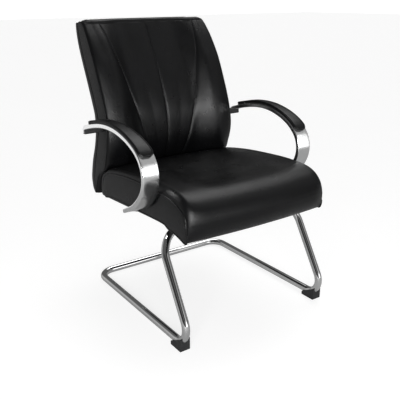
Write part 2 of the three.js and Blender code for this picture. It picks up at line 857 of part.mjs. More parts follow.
// The back board, grown by some room on all sides. Its faces follow the rear of the cushion.
function backBoardSolid(room, halfWidth) {
  const low = (backBoardFootGap - room) / backHeight;
  const high = 1 - (backBoardTopGap - room) / backHeight;
  const rises = [low, ...backBoardShares.map(([h]) => h).filter((h) => h > low && h < high), high];
  const face = (setback) =>
    rises.map((h) => [backAt(h, backBoard) + setback, backFloorHeight + backHeight * h]);
  const outline = [...face(restGap - room), ...face(restGap + backBoardThickness + room).reverse()];
  return drawnAcross(outline, 2 * (halfWidth + room));
}

const slopeStepShare = 0.01;

function backBoardSlope(height) {
  const run = backAt(height + slopeStepShare, backBoard) - backAt(height - slopeStepShare, backBoard);
  return new THREE.Vector3(0, run, 2 * slopeStepShare * backHeight).normalize();
}

const backBoltHeightShares = [0.06, 0.16];

function backBoltDirection(height) {
  const slope = backBoardSlope(height);
  return new THREE.Vector3(0, -slope.z, slope.y);
}

// The bolt heads rest on the bracket, behind the board, and the bolts point forward into it
function backBoltPlace(s, height) {
  const y = backAt(height, backBoard) + restGap + backBoardThickness;
  const onBoard = new THREE.Vector3((s * bracketSpacing) / 2, y, backFloorHeight + backHeight * height);
  return onBoard.addScaledVector(backBoltDirection(height), -(bracketThickness + 2 * restGap));
}

const backBoltLength = bracketThickness + backBoardThickness;

function armBoltPlace(s, t) {
  const x = s * (blockMiddle + (t * flangeBoltSpacing) / 2);
  return new THREE.Vector3(x, armRearSetback - restGap, flangeMiddle);
}

const armBoltLength = backAt(backShareAt(flangeMiddle), backBoard) + backBoardThickness - armRearSetback;
const rearward = new THREE.Vector3(0, 1, 0);

function armBoltHoles(s) {
  return [-1, 1].map((t) => aimed(boltHole(armBoltLength), armBoltPlace(s, t), rearward));
}

function buildBackBoard() {
  const holes = [];
  for (const s of [-1, 1]) {
    for (const h of backBoltHeightShares) {
      holes.push(aimed(boltHole(backBoltLength), backBoltPlace(s, h), backBoltDirection(h)));
    }
    holes.push(...armBoltHoles(s));
  }
  addPiece(chair, "back_board", cut(backBoardSolid(0, backBoardHalfWidth), ...holes), plywood);
}

// Rear shell: a padded cover that closes the back of the backrest and wraps round the board
const shellSideShare = 0.4;
const shellTopShare = 0.975;

function backShellRing(share) {
  const ring = [...backRearHeightShares].reverse().map((h) => {
    const z = backFloorHeight + backHeight * h;
    return new THREE.Vector3(share * backEdgeOffset(h), backAt(h, backBoard) + softGap, z);
  });
  const inset = (1 - Math.abs(share)) * backHalfWidth;
  const full = quarterRound(inset / backEdgeRounding);
  const bulk = shellSideShare + (1 - shellSideShare) * full;
  for (const [h] of [...backRearShares].reverse()) {
    const near = backAt(h, backBoard) + softGap;
    const height = h === 1 ? shellTopShare + (1 - shellTopShare) * bulk : h;
    const z = backFloorHeight + backHeight * height - (h === 1 ? backCornerFall(share) : 0);
    const depth = backAt(h, backRear) + backRearCrown * (1 - share * share) - near;
    ring.push(new THREE.Vector3(share * backEdgeOffset(h), near + depth * bulk, z));
  }
  return ring;
}

const shellStationShares = mirroredStations([1, 0.996, 0.985, 0.965, 0.935, 0.9, 0.8, 0.6, 0.3, 0]);

// Side view of a bracket: flat under the seat board, bent, then up the rear face of the back board
const bracketBendSteps = 6;

function bracketLine() {
  const sine = Math.sin(seatTilt);
  const cosine = Math.cos(seatTilt);
  const drop = boardUnderside - restGap - bracketThickness / 2;
  const onSeat = (setback) => {
    const away = (setback - legTopSetback - drop * sine) / cosine;
    return new THREE.Vector2(setback, legTopHeight - away * sine + drop * cosine);
  };
  const onBack = (h) => {
    const y = backAt(h, backBoard) + 2 * restGap + backBoardThickness + bracketThickness / 2;
    return new THREE.Vector2(y, backFloorHeight + backHeight * h);
  };
  const low = backBoardFootGap / backHeight;
  const high = (backBoardFootGap + bracketBackLength) / backHeight;
  const foot = onBack(low);
  const slope = backBoardSlope(low);
  const lean = slope.y / slope.z;
  const reach = (foot.y - onSeat(foot.x).y) / (1 - lean * Math.tan(seatTilt));
  const corner = onSeat(foot.x - lean * reach);
  const bend = new THREE.QuadraticBezierCurve(onSeat(corner.x - bracketBendRadius), corner, foot);
  const start = onSeat(legTopSetback + seatRear - bracketSeatLength);
  const upright = backBoardShares.map(([h]) => h).filter((h) => h > low && h < high);
  return [start, ...bend.getPoints(bracketBendSteps), ...[...upright, high].map((h) => onBack(h))];
}

// A strip of the given reach to either side of a line, as an outline
function stripOutline(line, nearReach, farReach) {
  const sides = [[], []];
  line.forEach((p, i) => {
    const before = line[Math.max(0, i - 1)];
    const after = line[Math.min(line.length - 1, i + 1)];
    const along = after.clone().sub(before).normalize();
    sides[0].push([p.x - along.y * nearReach, p.y + along.x * nearReach]);
    sides[1].push([p.x + along.y * farReach, p.y - along.x * farReach]);
  });
  return [...sides[0], ...sides[1].reverse()];
}

function bracketSolid(s, room, headRoom) {
  const half = bracketThickness / 2;
  const outline = stripOutline(bracketLine(), half + room, half + room + headRoom);
  return drawnAcross(outline, bracketWidth + 2 * room).translate((s * bracketSpacing) / 2, 0, 0);
}

function buildBackShell() {
  const shell = skin(shellStationShares.map((share) => backShellRing(share)));
  const tools = [backBoardSolid(restGap, backBoardHalfWidth)];
  for (const s of [-1, 1]) {
    tools.push(bracketSolid(s, softGap, 2 * boltHeadHeight));
    tools.push(...armBoltHoles(s));
  }
  addPiece(chair, "back_shell", cut(shell, ...tools), blackLeather);
}

function buildBrackets() {
  for (const [s, side] of [[-1, "left"], [1, "right"]]) {
    const holes = backBoltHeightShares.map((h) =>
      aimed(boltHole(backBoltLength), backBoltPlace(s, h), backBoltDirection(h)),
    );
    for (const [x, y] of bracketBoltPlaces.filter((place) => Math.sign(place[0]) === s)) {
      const hole = boltHole(bracketThickness + boardThickness);
      hole.translate(x, y, boardUnderside - restGap - bracketThickness).applyMatrix4(seatGroup.matrix);
      holes.push(hole);
    }
    addPiece(chair, "back_bracket_" + side, cut(bracketSolid(s, 0, 0), ...holes), blackSteel);
    backBoltHeightShares.forEach((h, i) => {
      const screw = aimed(bolt(backBoltLength), backBoltPlace(s, h), backBoltDirection(h));
      addPiece(chair, "bracket_back_bolt_" + side + "_" + (i + 1), screw, zincSteel);
    });
  }
  bracketBoltPlaces.forEach(([x, y], i) => {
    const screw = bolt(bracketThickness + boardThickness - restGap);
    screw.translate(x, y, boardUnderside - 2 * restGap - bracketThickness);
    addPiece(seatGroup, "bracket_seat_bolt_" + (i + 1), screw, zincSteel);
  });
}

// Middle line of an arm loop, seen from the side, from the hook at the rear over the crown to the foot.
// Each row: shares of the loop's depth behind its front and of its height below its crown.
const armLineShares = [
  [1.0175, 0.204],
  [1.016, 0.165],
  [0.998, 0.138],
  [0.96, 0.118],
  [0.88, 0.082],
  [0.77, 0.042],
  [0.66, 0.012],
  [0.54, 0.0],
  [0.42, 0.01],
  [0.305, 0.045],
  [0.2, 0.099],
  [0.107, 0.176],
  [0.042, 0.275],
  [0.006, 0.404],
  [0.004, 0.542],
  [0.036, 0.683],
  [0.1, 0.818],
  [0.175, 0.92],
  [0.265, 0.992],
];
const armLine = new THREE.SplineCurve(
  armLineShares.map(
    ([depth, drop]) =>
      new THREE.Vector2(armFrontSetback + armLoopDepth * depth, armCrownHeight - armLoopHeight * drop),
  ),
);
const armLineSteps = 38;
const armPath = Array.from({ length: armLineSteps + 1 }, (_, i) => {
  const place = armLine.getPointAt(i / armLineSteps);
  const along = armLine.getTangentAt(i / armLineSteps);
  return { point: new THREE.Vector3(0, place.x, place.y), out: new THREE.Vector3(0, along.y, -along.x) };
});

// Point of the loop's middle line, and the direction away from the inside of the loop
function armStation(share) {
  const i = Math.min(armLineSteps - 1, Math.floor(share * armLineSteps));
  const part = share * armLineSteps - i;
  const point = armPath[i].point.clone().lerp(armPath[i + 1].point, part);
  const out = armPath[i].out.clone().lerp(armPath[i + 1].out, part).normalize();
  return { point, out };
}

// Ring round a flat bar: width along X, thickness along "out", with bevelled edges
function barRing(centre, across, out, width, thickness, edge) {
  const w = width / 2;
  const t = thickness / 2;
  const corners = [
    [w, t - edge], [w - edge, t], [-w + edge, t], [-w, t - edge],
    [-w, -t + edge], [-w + edge, -t], [w - edge, -t], [w, -t + edge],
  ];
  return corners.map(([a, b]) => centre.clone().addScaledVector(across, a).addScaledVector(out, b));
}

// Thickness of the loop, which swells at the low bend where the foot turns in
const armSwellShare = 0.35;
const armSwellMiddleShare = 0.9;
const armSwellReachShare = 0.07;

function armThicknessAt(share) {
  const swell = Math.exp(-(((share - armSwellMiddleShare) / armSwellReachShare) ** 2));
  return armThickness * (1 + armSwellShare * swell);
}

// The upper run of the loop narrows towards the rear, on its inner side
const armTaperFrontShare = 0.62;
const armTaperRearShare = 0.3;

function armWidthAt(share) {
  return armRearWidth + (armWidth - armRearWidth) * between(share, armTaperRearShare, armTaperFrontShare);
}

function armBand() {
  const across = new THREE.Vector3(1, 0, 0);
  const rings = [];
  for (let i = 0; i <= armLineSteps; i++) {
    const share = i / armLineSteps;
    const { point, out } = armStation(share);
    point.x = armHalfSpacing - armWidthAt(share) / 2;
    rings.push(barRing(point, across, out, armWidthAt(share), armThicknessAt(share), armEdge));
  }
  return skin(rings);
}

// The foot leaves the low end of the loop and turns inwards to lie flat on the seat board
const armFootStartShare = 0.975;
const armFootSteps = 8;

function armFoot() {
  const { point, out } = armStation(armFootStartShare);
  point.x = armHalfSpacing - armWidth / 2;
  const along = new THREE.Vector3().crossVectors(out, new THREE.Vector3(1, 0, 0));
  const seatUp = new THREE.Vector3(0, Math.sin(seatTilt), Math.cos(seatTilt));
  const seatBack = new THREE.Vector3(0, Math.cos(seatTilt), -Math.sin(seatTilt));
  const middle = cushionUnderside + armFootThickness / 2;
  const flat = new THREE.Vector3(seatHalfWidth + armFootClearance, footSetback, middle);
  flat.applyMatrix4(seatGroup.matrix);
  const bend = point.clone().addScaledVector(along, (flat.y - point.y) / along.y);
  bend.z = flat.z;
  const line = new THREE.QuadraticBezierCurve3(point, bend, flat);
  const startWidth = armWidth - armEdge;
  const startThickness = armThickness - armEdge;
  const rings = [];
  for (let i = 0; i <= armFootSteps; i++) {
    const t = i / armFootSteps;
    const tangent = line.getTangent(t);
    const up = out.clone().multiplyScalar(t - 1).addScaledVector(seatUp, t);
    const across = new THREE.Vector3().crossVectors(tangent, up).normalize();
    const width = startWidth + (armFootWidth - startWidth) * t;
    const thickness = startThickness + (armFootThickness - startThickness) * t;
    rings.push(barRing(line.getPoint(t), across, across.clone().cross(tangent), width, thickness, armEdge));
  }
  const tip = flat.setX(boardHalfWidth - armFootInset);
  rings.push(barRing(tip, seatBack, seatUp, armFootWidth, armFootThickness, armEdge));
  return skin(rings);
}

function armFlange() {
  const width = armFlangeReach - armRearWidth / 2;
  const flange = new THREE.BoxGeometry(width, armFlangeThickness, armFlangeHeight);
  return flange.translate(flangeInnerEdge + width / 2, armRearSetback + armFlangeThickness / 2, flangeMiddle);
}

const padScrewShares = [0.2, 0.42];
const padScrewHeadDepth = boltHeadHeight + restGap;
const padScrewLength = armThickness - padScrewHeadDepth + padBaseThickness;

function padScrewPlace(s, share) {
  const { point, out } = armStation(share);
  point.x = s * (armHalfSpacing - armWidthAt(share) / 2);
  return point.addScaledVector(out, -armThickness / 2 + padScrewHeadDepth);
}

function padScrewHoles(share) {
  const place = padScrewPlace(1, share);
  const { out } = armStation(share);
  const head = rod(boltHeadRadius + holeClearance, padScrewHeadDepth + cutOverrun, boltSides);
  const sunk = place.clone().addScaledVector(out, -padScrewHeadDepth - cutOverrun);
  return [aimed(head, sunk, out), aimed(boltHole(padScrewLength), place, out)];
}

function buildArms() {
  const footHoles = footBoltPlaces
    .filter(([x]) => x > 0)
    .map(([x, y]) => boltHole(armFootThickness).translate(x, y, cushionUnderside))
    .map((hole) => hole.applyMatrix4(seatGroup.matrix));
  const screwHoles = padScrewShares.flatMap((share) => padScrewHoles(share));
  const arm = cut(join(armBand(), armFoot(), armFlange()), ...footHoles, ...armBoltHoles(1), ...screwHoles);
  addPiece(chair, "arm_right", arm, polishedAluminium);
  addPiece(chair, "arm_left", mirrored(arm), polishedAluminium);
}

function buildArmFixings() {
  footBoltPlaces.forEach(([x, y], i) => {
    const screw = bolt(boardThickness + armFootThickness).translate(x, y, boardUnderside - restGap);
    addPiece(seatGroup, "arm_foot_bolt_" + (i + 1), screw, zincSteel);
  });
  for (const [s, side] of [[-1, "left"], [1, "right"]]) {
    const front = armRearSetback + armFlangeThickness + restGap;
    const rear = backAt(backShareAt(flangeMiddle), backBoard) + backBoardThickness / 2;
    const block = new THREE.BoxGeometry(armBlockWidth, rear - front, armBlockHeight);
    block.translate(s * blockMiddle, (rear + front) / 2, flangeMiddle);
    const shaped = cut(block, backBoardSolid(restGap, backBoardHalfWidth), ...armBoltHoles(s));
    addPiece(chair, "arm_block_" + side, shaped, plywood);
    [-1, 1].forEach((t, i) => {
      const screw = aimed(bolt(armBoltLength), armBoltPlace(s, t), rearward);
      addPiece(chair, "arm_rear_bolt_" + side + "_" + (i + 1), screw, zincSteel);
    });
    padScrewShares.forEach((share, i) => {
      const screw = aimed(bolt(padScrewLength - restGap), padScrewPlace(s, share), armStation(share).out);
      addPiece(chair, "pad_screw_" + side + "_" + (i + 1), screw, zincSteel);
    });
  }
}

// Pads lie on the outer face of the loop, from near the rear hook to the front shoulder, round at both
// ends. They follow the same stations as the loop.
const padStartShare = 0.075;
const padEndShare = 0.645;
const padEndShares = [0, 0.04, 0.16, 0.36, 0.65, 1];
const padTipShare = 0.1;

function padRings(section) {
  const reach = padEndReach / armLine.getLength();
  const ends = padEndShares.map((t) => [t * reach, padTipShare + (1 - padTipShare) * quarterRound(t)]);
  const inner = armPath
    .map((_, i) => i / armLineSteps)
    .filter((share) => share > padStartShare + reach && share < padEndShare - reach);
  const stations = [
    ...ends.map(([away, full]) => [padStartShare + away, full]),
    ...inner.map((share) => [share, 1]),
    ...ends.reverse().map(([away, full]) => [padEndShare - away, full]),
  ];
  return stations.map(([share, full]) => {
    const { point, out } = armStation(share);
    const forward = smooth(between(share, padStartShare, padEndShare));
    const crown = padRearCrown + (padFrontCrown - padRearCrown) * forward;
    point.x = armHalfSpacing - armWidthAt(share) / 2;
    point.addScaledVector(out, armThicknessAt(share) / 2 + restGap);
    const corners = section((armWidthAt(share) / 2 - padInset) * full, crown, full);
    return corners.map(([a, b]) => new THREE.Vector3(a, 0, 0).addScaledVector(out, b).add(point));
  });
}

function padBaseSection(reach) {
  return [[reach, 0], [reach, padBaseThickness], [-reach, padBaseThickness], [-reach, 0]];
}

const padDomeShares = [[1, 0], [1.03, 0.3], [0.95, 0.68], [0.72, 0.9], [0.38, 0.985], [0, 1]];
const padTipRiseShare = 0.35;

function padCrownSection(reach, crown, full) {
  const low = padBaseThickness + restGap;
  const rise = crown * (padTipRiseShare + (1 - padTipRiseShare) * full);
  const half = padDomeShares.map(([a, b]) => [reach * a, low + rise * b]);
  return [...half, ...half.slice(0, -1).reverse().map(([a, b]) => [-a, b])];
}

function buildPads() {
  const base = skin(padRings(padBaseSection));
  const drilled = cut(base, ...padScrewShares.map((share) => padScrewHoles(share)[1]));
  const crown = skin(padRings(padCrownSection));
  addPiece(chair, "arm_pad_base_right", drilled, blackPlastic);
  addPiece(chair, "arm_pad_base_left", mirrored(drilled), blackPlastic);
  addPiece(chair, "arm_pad_right", crown, blackLeather);
  addPiece(chair, "arm_pad_left", mirrored(crown), blackLeather);
}

seatGroup.updateMatrix();
buildSled();
buildTubePlugs();
buildGlides();
buildSeatPlate();
buildSeatBoard();
buildSeatCushion();
buildBackCushion();
buildBackBoard();
buildBackShell();
buildBrackets();
buildArms();
buildArmFixings();
buildPads();

// The part's origin is on the floor, in the middle of the chair's width and depth
const outer = new THREE.Box3().setFromObject(chair, true);
chair.position.y = -(outer.min.y + outer.max.y) / 2;

export default chair;
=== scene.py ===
# %% [markdown]
# # Sled base visitor chair
# A bent chrome tube stands on the floor as a sled and carries a leather seat. The backrest is a padded
# shell with three sewn seams that spread towards the top. Two flat aluminium bars bend into arm loops
# with padded tops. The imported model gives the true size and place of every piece, so this script first
# loads it, then dresses it: soft and shiny pieces are made again with finer surfaces, and the small
# hardware keeps its shape and gets better finishes.

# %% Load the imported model
import json
import math

import bpy
import numpy as np
from mathutils import Matrix, Vector


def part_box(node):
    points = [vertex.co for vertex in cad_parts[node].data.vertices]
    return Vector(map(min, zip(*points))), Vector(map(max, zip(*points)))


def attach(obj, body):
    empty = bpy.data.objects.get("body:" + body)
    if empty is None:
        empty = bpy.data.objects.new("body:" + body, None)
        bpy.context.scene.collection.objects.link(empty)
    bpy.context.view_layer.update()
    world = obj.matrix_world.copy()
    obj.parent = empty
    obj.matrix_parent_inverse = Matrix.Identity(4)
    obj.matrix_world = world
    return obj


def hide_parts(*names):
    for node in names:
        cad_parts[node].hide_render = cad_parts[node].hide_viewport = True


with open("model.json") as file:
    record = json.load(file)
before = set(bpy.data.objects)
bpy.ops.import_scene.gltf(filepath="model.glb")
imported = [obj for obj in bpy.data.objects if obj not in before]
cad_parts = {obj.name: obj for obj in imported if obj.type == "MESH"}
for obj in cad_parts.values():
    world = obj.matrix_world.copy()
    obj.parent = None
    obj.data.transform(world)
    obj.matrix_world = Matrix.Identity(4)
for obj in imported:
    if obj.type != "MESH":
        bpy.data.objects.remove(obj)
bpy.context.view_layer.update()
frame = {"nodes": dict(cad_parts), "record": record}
nodes = frame["nodes"]

# %% [markdown]
# The chair was drawn from the toe of its sled, where the lines of a front leg and a runner cross. The
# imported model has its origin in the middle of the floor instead. Every shape below is worked out from
# the toe, in metres, and moved by `toe` when its mesh is made. The glide's front face tells how far.

# %% Find the toe of the sled
GLIDE_SETBACK = 0.0445
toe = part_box("glide_left")[0].y - GLIDE_SETBACK
print("the toe lies at y =", round(toe, 4))

# %% [markdown]
# The camera stands in front and to the left of the chair, at about a metre's height, and looks down by
# 20 degrees. Its place and its lens were worked out from the straight runs of the tube in the photo, so
# the picture has the photo's perspective. Its turn is three directions: right, up and forwards.

# %% Camera
EYE = Vector((-1.0787, -1.2113 + toe, 1.0178))
AZIMUTH = math.radians(-34.32)
ELEVATION = math.radians(19.56)
ROLL = math.radians(-0.35)
LENS = 51.3
SENSOR_WIDTH = 36

forward = Vector((
    -math.sin(AZIMUTH) * math.cos(ELEVATION),
    math.cos(AZIMUTH) * math.cos(ELEVATION),
    -math.sin(ELEVATION),
))
level_right = Vector((math.cos(AZIMUTH), math.sin(AZIMUTH), 0))
level_up = level_right.cross(forward)
right = level_right * math.cos(ROLL) + level_up * math.sin(ROLL)
up = level_up * math.cos(ROLL) - level_right * math.sin(ROLL)

camera_data = bpy.data.cameras.new("camera")
camera_data.lens = LENS
camera_data.sensor_width = SENSOR_WIDTH
camera = bpy.data.objects.new("camera", camera_data)
camera.matrix_world = Matrix.Translation(EYE) @ Matrix((right, up, -forward)).transposed().to_4x4()
bpy.context.scene.collection.objects.link(camera)
bpy.context.scene.camera = camera
print("camera at", [round(c, 3) for c in EYE], "with a", LENS, "mm lens")

# %% [markdown]
# Curves through a few points describe most of this chair: the side view of the back, the swell of its
# wings, the line of an arm. These helpers read such a curve for a whole array at once.

# %% Curves and blends
def curve_through(pairs):
    """Cubic curve through (place, value) pairs: at each pair it has the slope of the chord between the
    two neighbours. Gives back a function that reads it for an array of places."""
    place, value = np.array(pairs, float).T
    chord = np.diff(value) / np.diff(place)
    inner = (value[2:] - value[:-2]) / (place[2:] - place[:-2])
    slope = np.concatenate([chord[:1], inner, chord[-1:]])

    def read(x):
        i = np.clip(np.searchsorted(place, x, side="right") - 1, 0, len(place) - 2)
        span = place[i + 1] - place[i]
        t = np.clip((x - place[i]) / span, 0, 1)
        rest = 1 - t
        start = value[i] * rest**2 * (1 + 2 * t) + slope[i] * span * t * rest**2
        end = value[i + 1] * t**2 * (3 - 2 * t) - slope[i + 1] * span * t**2 * rest
        return start + end

    return read


def between(x, start, end):
    """Share of the way from start to end, held between 0 and 1."""
    return np.clip((x - start) / (end - start), 0, 1)


def blend(first, second, share):
    """The first value at share 0, the second at share 1, and evenly between them."""
    return first + (second - first) * share


def smooth(t):
    """A step from 0 to 1 with level ends: 3 t squared less 2 t cubed."""
    return t * t * (3 - 2 * t)


def quarter_round(t):
    """Height of a quarter circle above its start: upright at 0 and level at 1."""
    return np.sqrt(1 - (1 - np.clip(t, 0, 1)) ** 2)


def clustered(centres, count, reach, crowding):
    """Places from -1 to 1 that crowd round the centres: the density is 1 plus a bell of width `reach`
    and height `crowding` at each centre, and equal shares of its sum give the places."""
    fine = np.linspace(-1, 1, 4001)
    density = 1 + sum(crowding * np.exp(-(((fine - c) / reach) ** 2)) for c in centres)
    total = np.concatenate([[0], np.cumsum((density[1:] + density[:-1]) / 2)])
    return np.interp(np.linspace(0, total[-1], count), total, fine)


def run_of(path):
    """Length along a path at each of its points."""
    step = np.linalg.norm(np.diff(path, axis=0), axis=1)
    return np.concatenate([[0], np.cumsum(step)])


def read_columns(at, place, values):
    """Every column of an array whose rows belong to the given places, read at new places."""
    return np.stack([np.interp(at, place, column) for column in values.T], axis=1)


def unit(v):
    """Each vector of an array, at length 1."""
    return v / np.linalg.norm(v, axis=-1, keepdims=True)


# %% [markdown]
# Every new piece is a skin: a row of rings, each ring a closed loop of points. Both ends are closed by
# letting the points slide towards their partners across the ring, so an end can swell like the side of
# a cushion or round off like the end of a pad, with no loose edge and no pinched pole. A piece gets the
# finish of its slot, and the finishes are made further down.

# %% Skins from rings
finishes = {}


def closing_rings(ring, outward, swell, steps, power=1.0):
    """Rings that close an end: by the share t every point slides to the middle between itself and its
    partner across the ring, while the end swells by sin(90 degrees times t) to the given power."""
    partner = ring[(-np.arange(len(ring))) % len(ring)]
    t = np.linspace(0, 1, steps + 1)[1:, None, None]
    slide = 1 - np.cos(t * np.pi / 2)
    rise = swell * np.sin(t * np.pi / 2) ** power
    return ring + ((ring + partner) / 2 - ring) * slide + np.asarray(outward) * rise


def skin_faces(rows, columns):
    """Quads between neighbouring rings. In the first and last ring the partners are one point, so a ring
    has an even number of points, and then no two neighbours in it are partners."""
    index = np.arange(rows * columns).reshape(rows, columns)
    partner = np.minimum(np.arange(columns), (-np.arange(columns)) % columns)
    index[0] = index[0][partner]
    index[-1] = index[-1][partner]
    following = np.roll(index, -1, axis=1)
    quads = np.stack([index[:-1], following[:-1], following[1:], index[1:]], axis=-1)
    return quads.reshape(-1, 4)


def volume(points, quads):
    """Signed volume: each quad is two triangles, and each makes a pyramid with the origin."""
    a, b, c, d = (points[quads[:, k]] for k in range(4))
    return (np.einsum("ij,ij->i", a, np.cross(b, c)) + np.einsum("ij,ij->i", a, np.cross(c, d))).sum() / 6


def new_piece(name, points, quads, slot, material=None):
    """A mesh object from points and faces, with unused points left out and its faces turned outwards.
    It has its slot's finish or a given one, rides on the chair's one body and is placed from the toe."""
    used, compact = np.unique(quads, return_inverse=True)
    points = points[used] + np.array([0, toe, 0])
    quads = compact.reshape(quads.shape)
    if volume(points, quads) < 0:
        quads = quads[:, ::-1]
    mesh = bpy.data.meshes.new(name)
    mesh.from_pydata(points.tolist(), [], quads.tolist())
    mesh.polygons.foreach_set("use_smooth", np.ones(len(quads), bool))
    mesh.materials.append(material or finishes[slot])
    mesh.update()
    piece = bpy.data.objects.new(name, mesh)
    bpy.context.scene.collection.objects.link(piece)
    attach(piece, "root")
    print(name, "has", len(quads), "faces")
    return piece


def new_skin(name, rings, slot, ends):
    """A closed piece from an array of rings. Each of its two `ends` is an outward direction, a swell, a
    number of steps and, if it isn't 1, the power of the swell."""
    first, last = ends
    before = closing_rings(rings[0], *first)[::-1]
    after = closing_rings(rings[-1], *last)
    all_rings = np.concatenate([before, rings, after])
    quads = skin_faces(*all_rings.shape[:2])
    return new_piece(name, all_rings.reshape(-1, 3), quads, slot)


def side_ends(swell, steps, power=0.8):
    """Ends of a skin whose first ring is its left side and whose last is its right: both swell out."""
    return ((-1, 0, 0), swell, steps, power), ((1, 0, 0), swell, steps, power)


# %% [markdown]
# Tubes, piping and beads are a round profile carried along a path. A fixed side direction that is never
# in line with the path keeps the profile from twisting.

# %% Round bars along a path
def tube_rings(path, radius, sides, reference):
    """Rings round a path: the side direction is the path's direction crossed with the reference, and
    each point is the path plus radius times (cosine, sine) of its angle."""
    along = unit(np.gradient(path, axis=0))
    side = unit(np.cross(along, reference))
    lift = np.cross(side, along)
    angle = 2 * np.pi * np.arange(sides) / sides
    turned = side[:, None] * np.cos(angle)[:, None] + lift[:, None] * np.sin(angle)[:, None]
    return path[:, None] + np.reshape(radius, (-1, 1, 1)) * turned


def even_path(path, step):
    """The same path with points at even distances of about one step."""
    run = run_of(path)
    at = np.linspace(0, run[-1], max(2, int(round(run[-1] / step)) + 1))
    return read_columns(at, run, path)


def new_tube(name, path, radius, sides, reference, slot):
    """A round bar with domed ends."""
    rings = tube_rings(path, radius, sides, reference)
    start, end = unit(path[0] - path[1]), unit(path[-1] - path[-2])
    return new_skin(name, rings, slot, ((start, radius, 4), (end, radius, 4)))


# %% [markdown]
# Sewing thread shows as a row of short stitches that dip into the leather between them. One stitch is a
# small spindle with few faces, and it is laid along the seam as often as the stitch length asks for.

# %% Stitches along a path
STITCH_LENGTH = 0.0042
STITCH_GAP = 0.0016
THREAD_RADIUS = 0.00045
STITCH_SIDES = 6
STITCH_ARCH = 0.4

stitch_places = np.array([-0.5, -0.36, 0.0, 0.36, 0.5])
stitch_sizes = np.array([0.25, 0.85, 1.0, 0.85, 0.25])
stitch_grid = np.arange(len(stitch_places) * STITCH_SIDES).reshape(-1, STITCH_SIDES)


def stitch_faces():
    """Faces of one stitch: quads between its rings, and two quads over each of its ends."""
    turn = np.roll(stitch_grid, -1, axis=1)
    sides = np.stack([stitch_grid[:-1], turn[:-1], turn[1:], stitch_grid[1:]], axis=-1).reshape(-1, 4)
    first, last = stitch_grid[0], stitch_grid[-1]
    ends = [first[[3, 2, 1, 0]], first[[5, 4, 3, 0]], last[[1, 2, 3, 0]], last[[3, 4, 5, 0]]]
    return np.concatenate([sides, ends])


def stitch_points(path, normal):
    """Points of a seam's stitches: rings of points along the seam, thickest in the middle of a stitch,
    placed by the seam's direction and by the leather's outward normal."""
    pitch = STITCH_LENGTH + STITCH_GAP
    run = run_of(path)
    at = np.arange(pitch / 2, run[-1], pitch)
    centre = read_columns(at, run, path)
    lift = unit(read_columns(at, run, normal))
    ahead = unit(read_columns(at, run, np.gradient(path, axis=0)))
    side = unit(np.cross(ahead, lift))
    angle = 2 * np.pi * np.arange(STITCH_SIDES) / STITCH_SIDES
    spread = side[:, None] * np.cos(angle)[:, None] + lift[:, None] * np.sin(angle)[:, None]
    along = ahead[:, None, None] * (stitch_places * STITCH_LENGTH)[:, None, None]
    arch = lift[:, None, None] * (THREAD_RADIUS * (stitch_sizes - STITCH_ARCH))[:, None, None]
    round_part = spread[:, None] * (THREAD_RADIUS * stitch_sizes)[:, None, None]
    return (centre[:, None, None] + along + arch + round_part).reshape(-1, 3)


def new_stitches(name, paths, normals):
    """One piece of thread with all the stitches of some leather seams."""
    points = np.concatenate([stitch_points(path, normal) for path, normal in zip(paths, normals)])
    count = len(points) // stitch_grid.size
    quads = (stitch_faces() + stitch_grid.size * np.arange(count)[:, None, None]).reshape(-1, 4)
    print(name, "has", count, "stitches")
    return new_piece(name, points, quads, "black_leather", thread)


# %% [markdown]
# ## Finishes
# Each finish is a small node tree on the Principled shader. Patterns read Object coordinates, which are
# metres here, so a scale of 900 gives grains of about a millimetre.

# %% Helpers for node trees
def set_inputs(tree, node, values):
    """Sets inputs of a node by name or number: an output of another node is linked to the input, and
    anything else becomes the input's own value."""
    for key, value in values.items():
        if isinstance(value, bpy.types.NodeSocket):
            tree.links.new(value, node.inputs[key])
        else:
            node.inputs[key].default_value = value


def add_node(tree, kind, values, **settings):
    """A new node of a kind, with its settings and its inputs."""
    node = tree.nodes.new("ShaderNode" + kind)
    for setting, value in settings.items():
        setattr(node, setting, value)
    set_inputs(tree, node, values)
    return node


def new_material(name, color, metallic, roughness):
    """A material with its tree, its shader and the coordinates to read patterns from."""
    material = bpy.data.materials.new(name)
    material.use_nodes = True
    tree = material.node_tree
    shader = tree.nodes["Principled BSDF"]
    set_inputs(tree, shader, {"Base Color": (*color, 1), "Metallic": metallic, "Roughness": roughness})
    return material, tree, shader, add_node(tree, "TexCoord", {}).outputs["Object"]


def noise(tree, place, scale, detail=2.0, roughness=0.5):
    """Cloudy pattern of the given scale, from 0 to 1."""
    values = {"Vector": place, "Scale": scale, "Detail": detail, "Roughness": roughness}
    return add_node(tree, "TexNoise", values).outputs["Fac"]


def stretched(tree, place, stretch):
    """The same coordinates with each axis multiplied by its own number."""
    return add_node(tree, "Mapping", {"Vector": place, "Scale": stretch}).outputs["Vector"]


def mapped(tree, value, low, high, start=0.3, end=0.7):
    """A pattern's values from start to end, mapped to low to high."""
    values = {"Value": value, "From Min": start, "From Max": end, "To Min": low, "To Max": high}
    return add_node(tree, "MapRange", values).outputs["Result"]


def mixed(tree, pattern, first, second):
    """A colour between two colours, by a pattern."""
    values = {0: mapped(tree, pattern, 0, 1), 6: (*first, 1), 7: (*second, 1)}
    return add_node(tree, "Mix", values, data_type="RGBA").outputs[2]


def bumped(tree, height, distance, strength, before=None):
    """A normal that follows a height pattern, on top of another bump if there is one."""
    values = {"Height": height, "Distance": distance, "Strength": strength}
    if before is not None:
        values["Normal"] = before
    return add_node(tree, "Bump", values).outputs["Normal"]


# %% [markdown]
# The leather is near black with a soft grey-blue shine. Its grain is a net of fine cells, so a Voronoi
# pattern gives the creases between them and noise breaks up their evenness. Over wider stretches the
# shine changes a little, as on hide that has been pulled over foam.

# %% Black leather
LEATHER_CELLS = 620
CREASE_WIDTH = 0.22
CREASE_DEPTH = 0.00016
SOFT_DEPTH = 0.0012


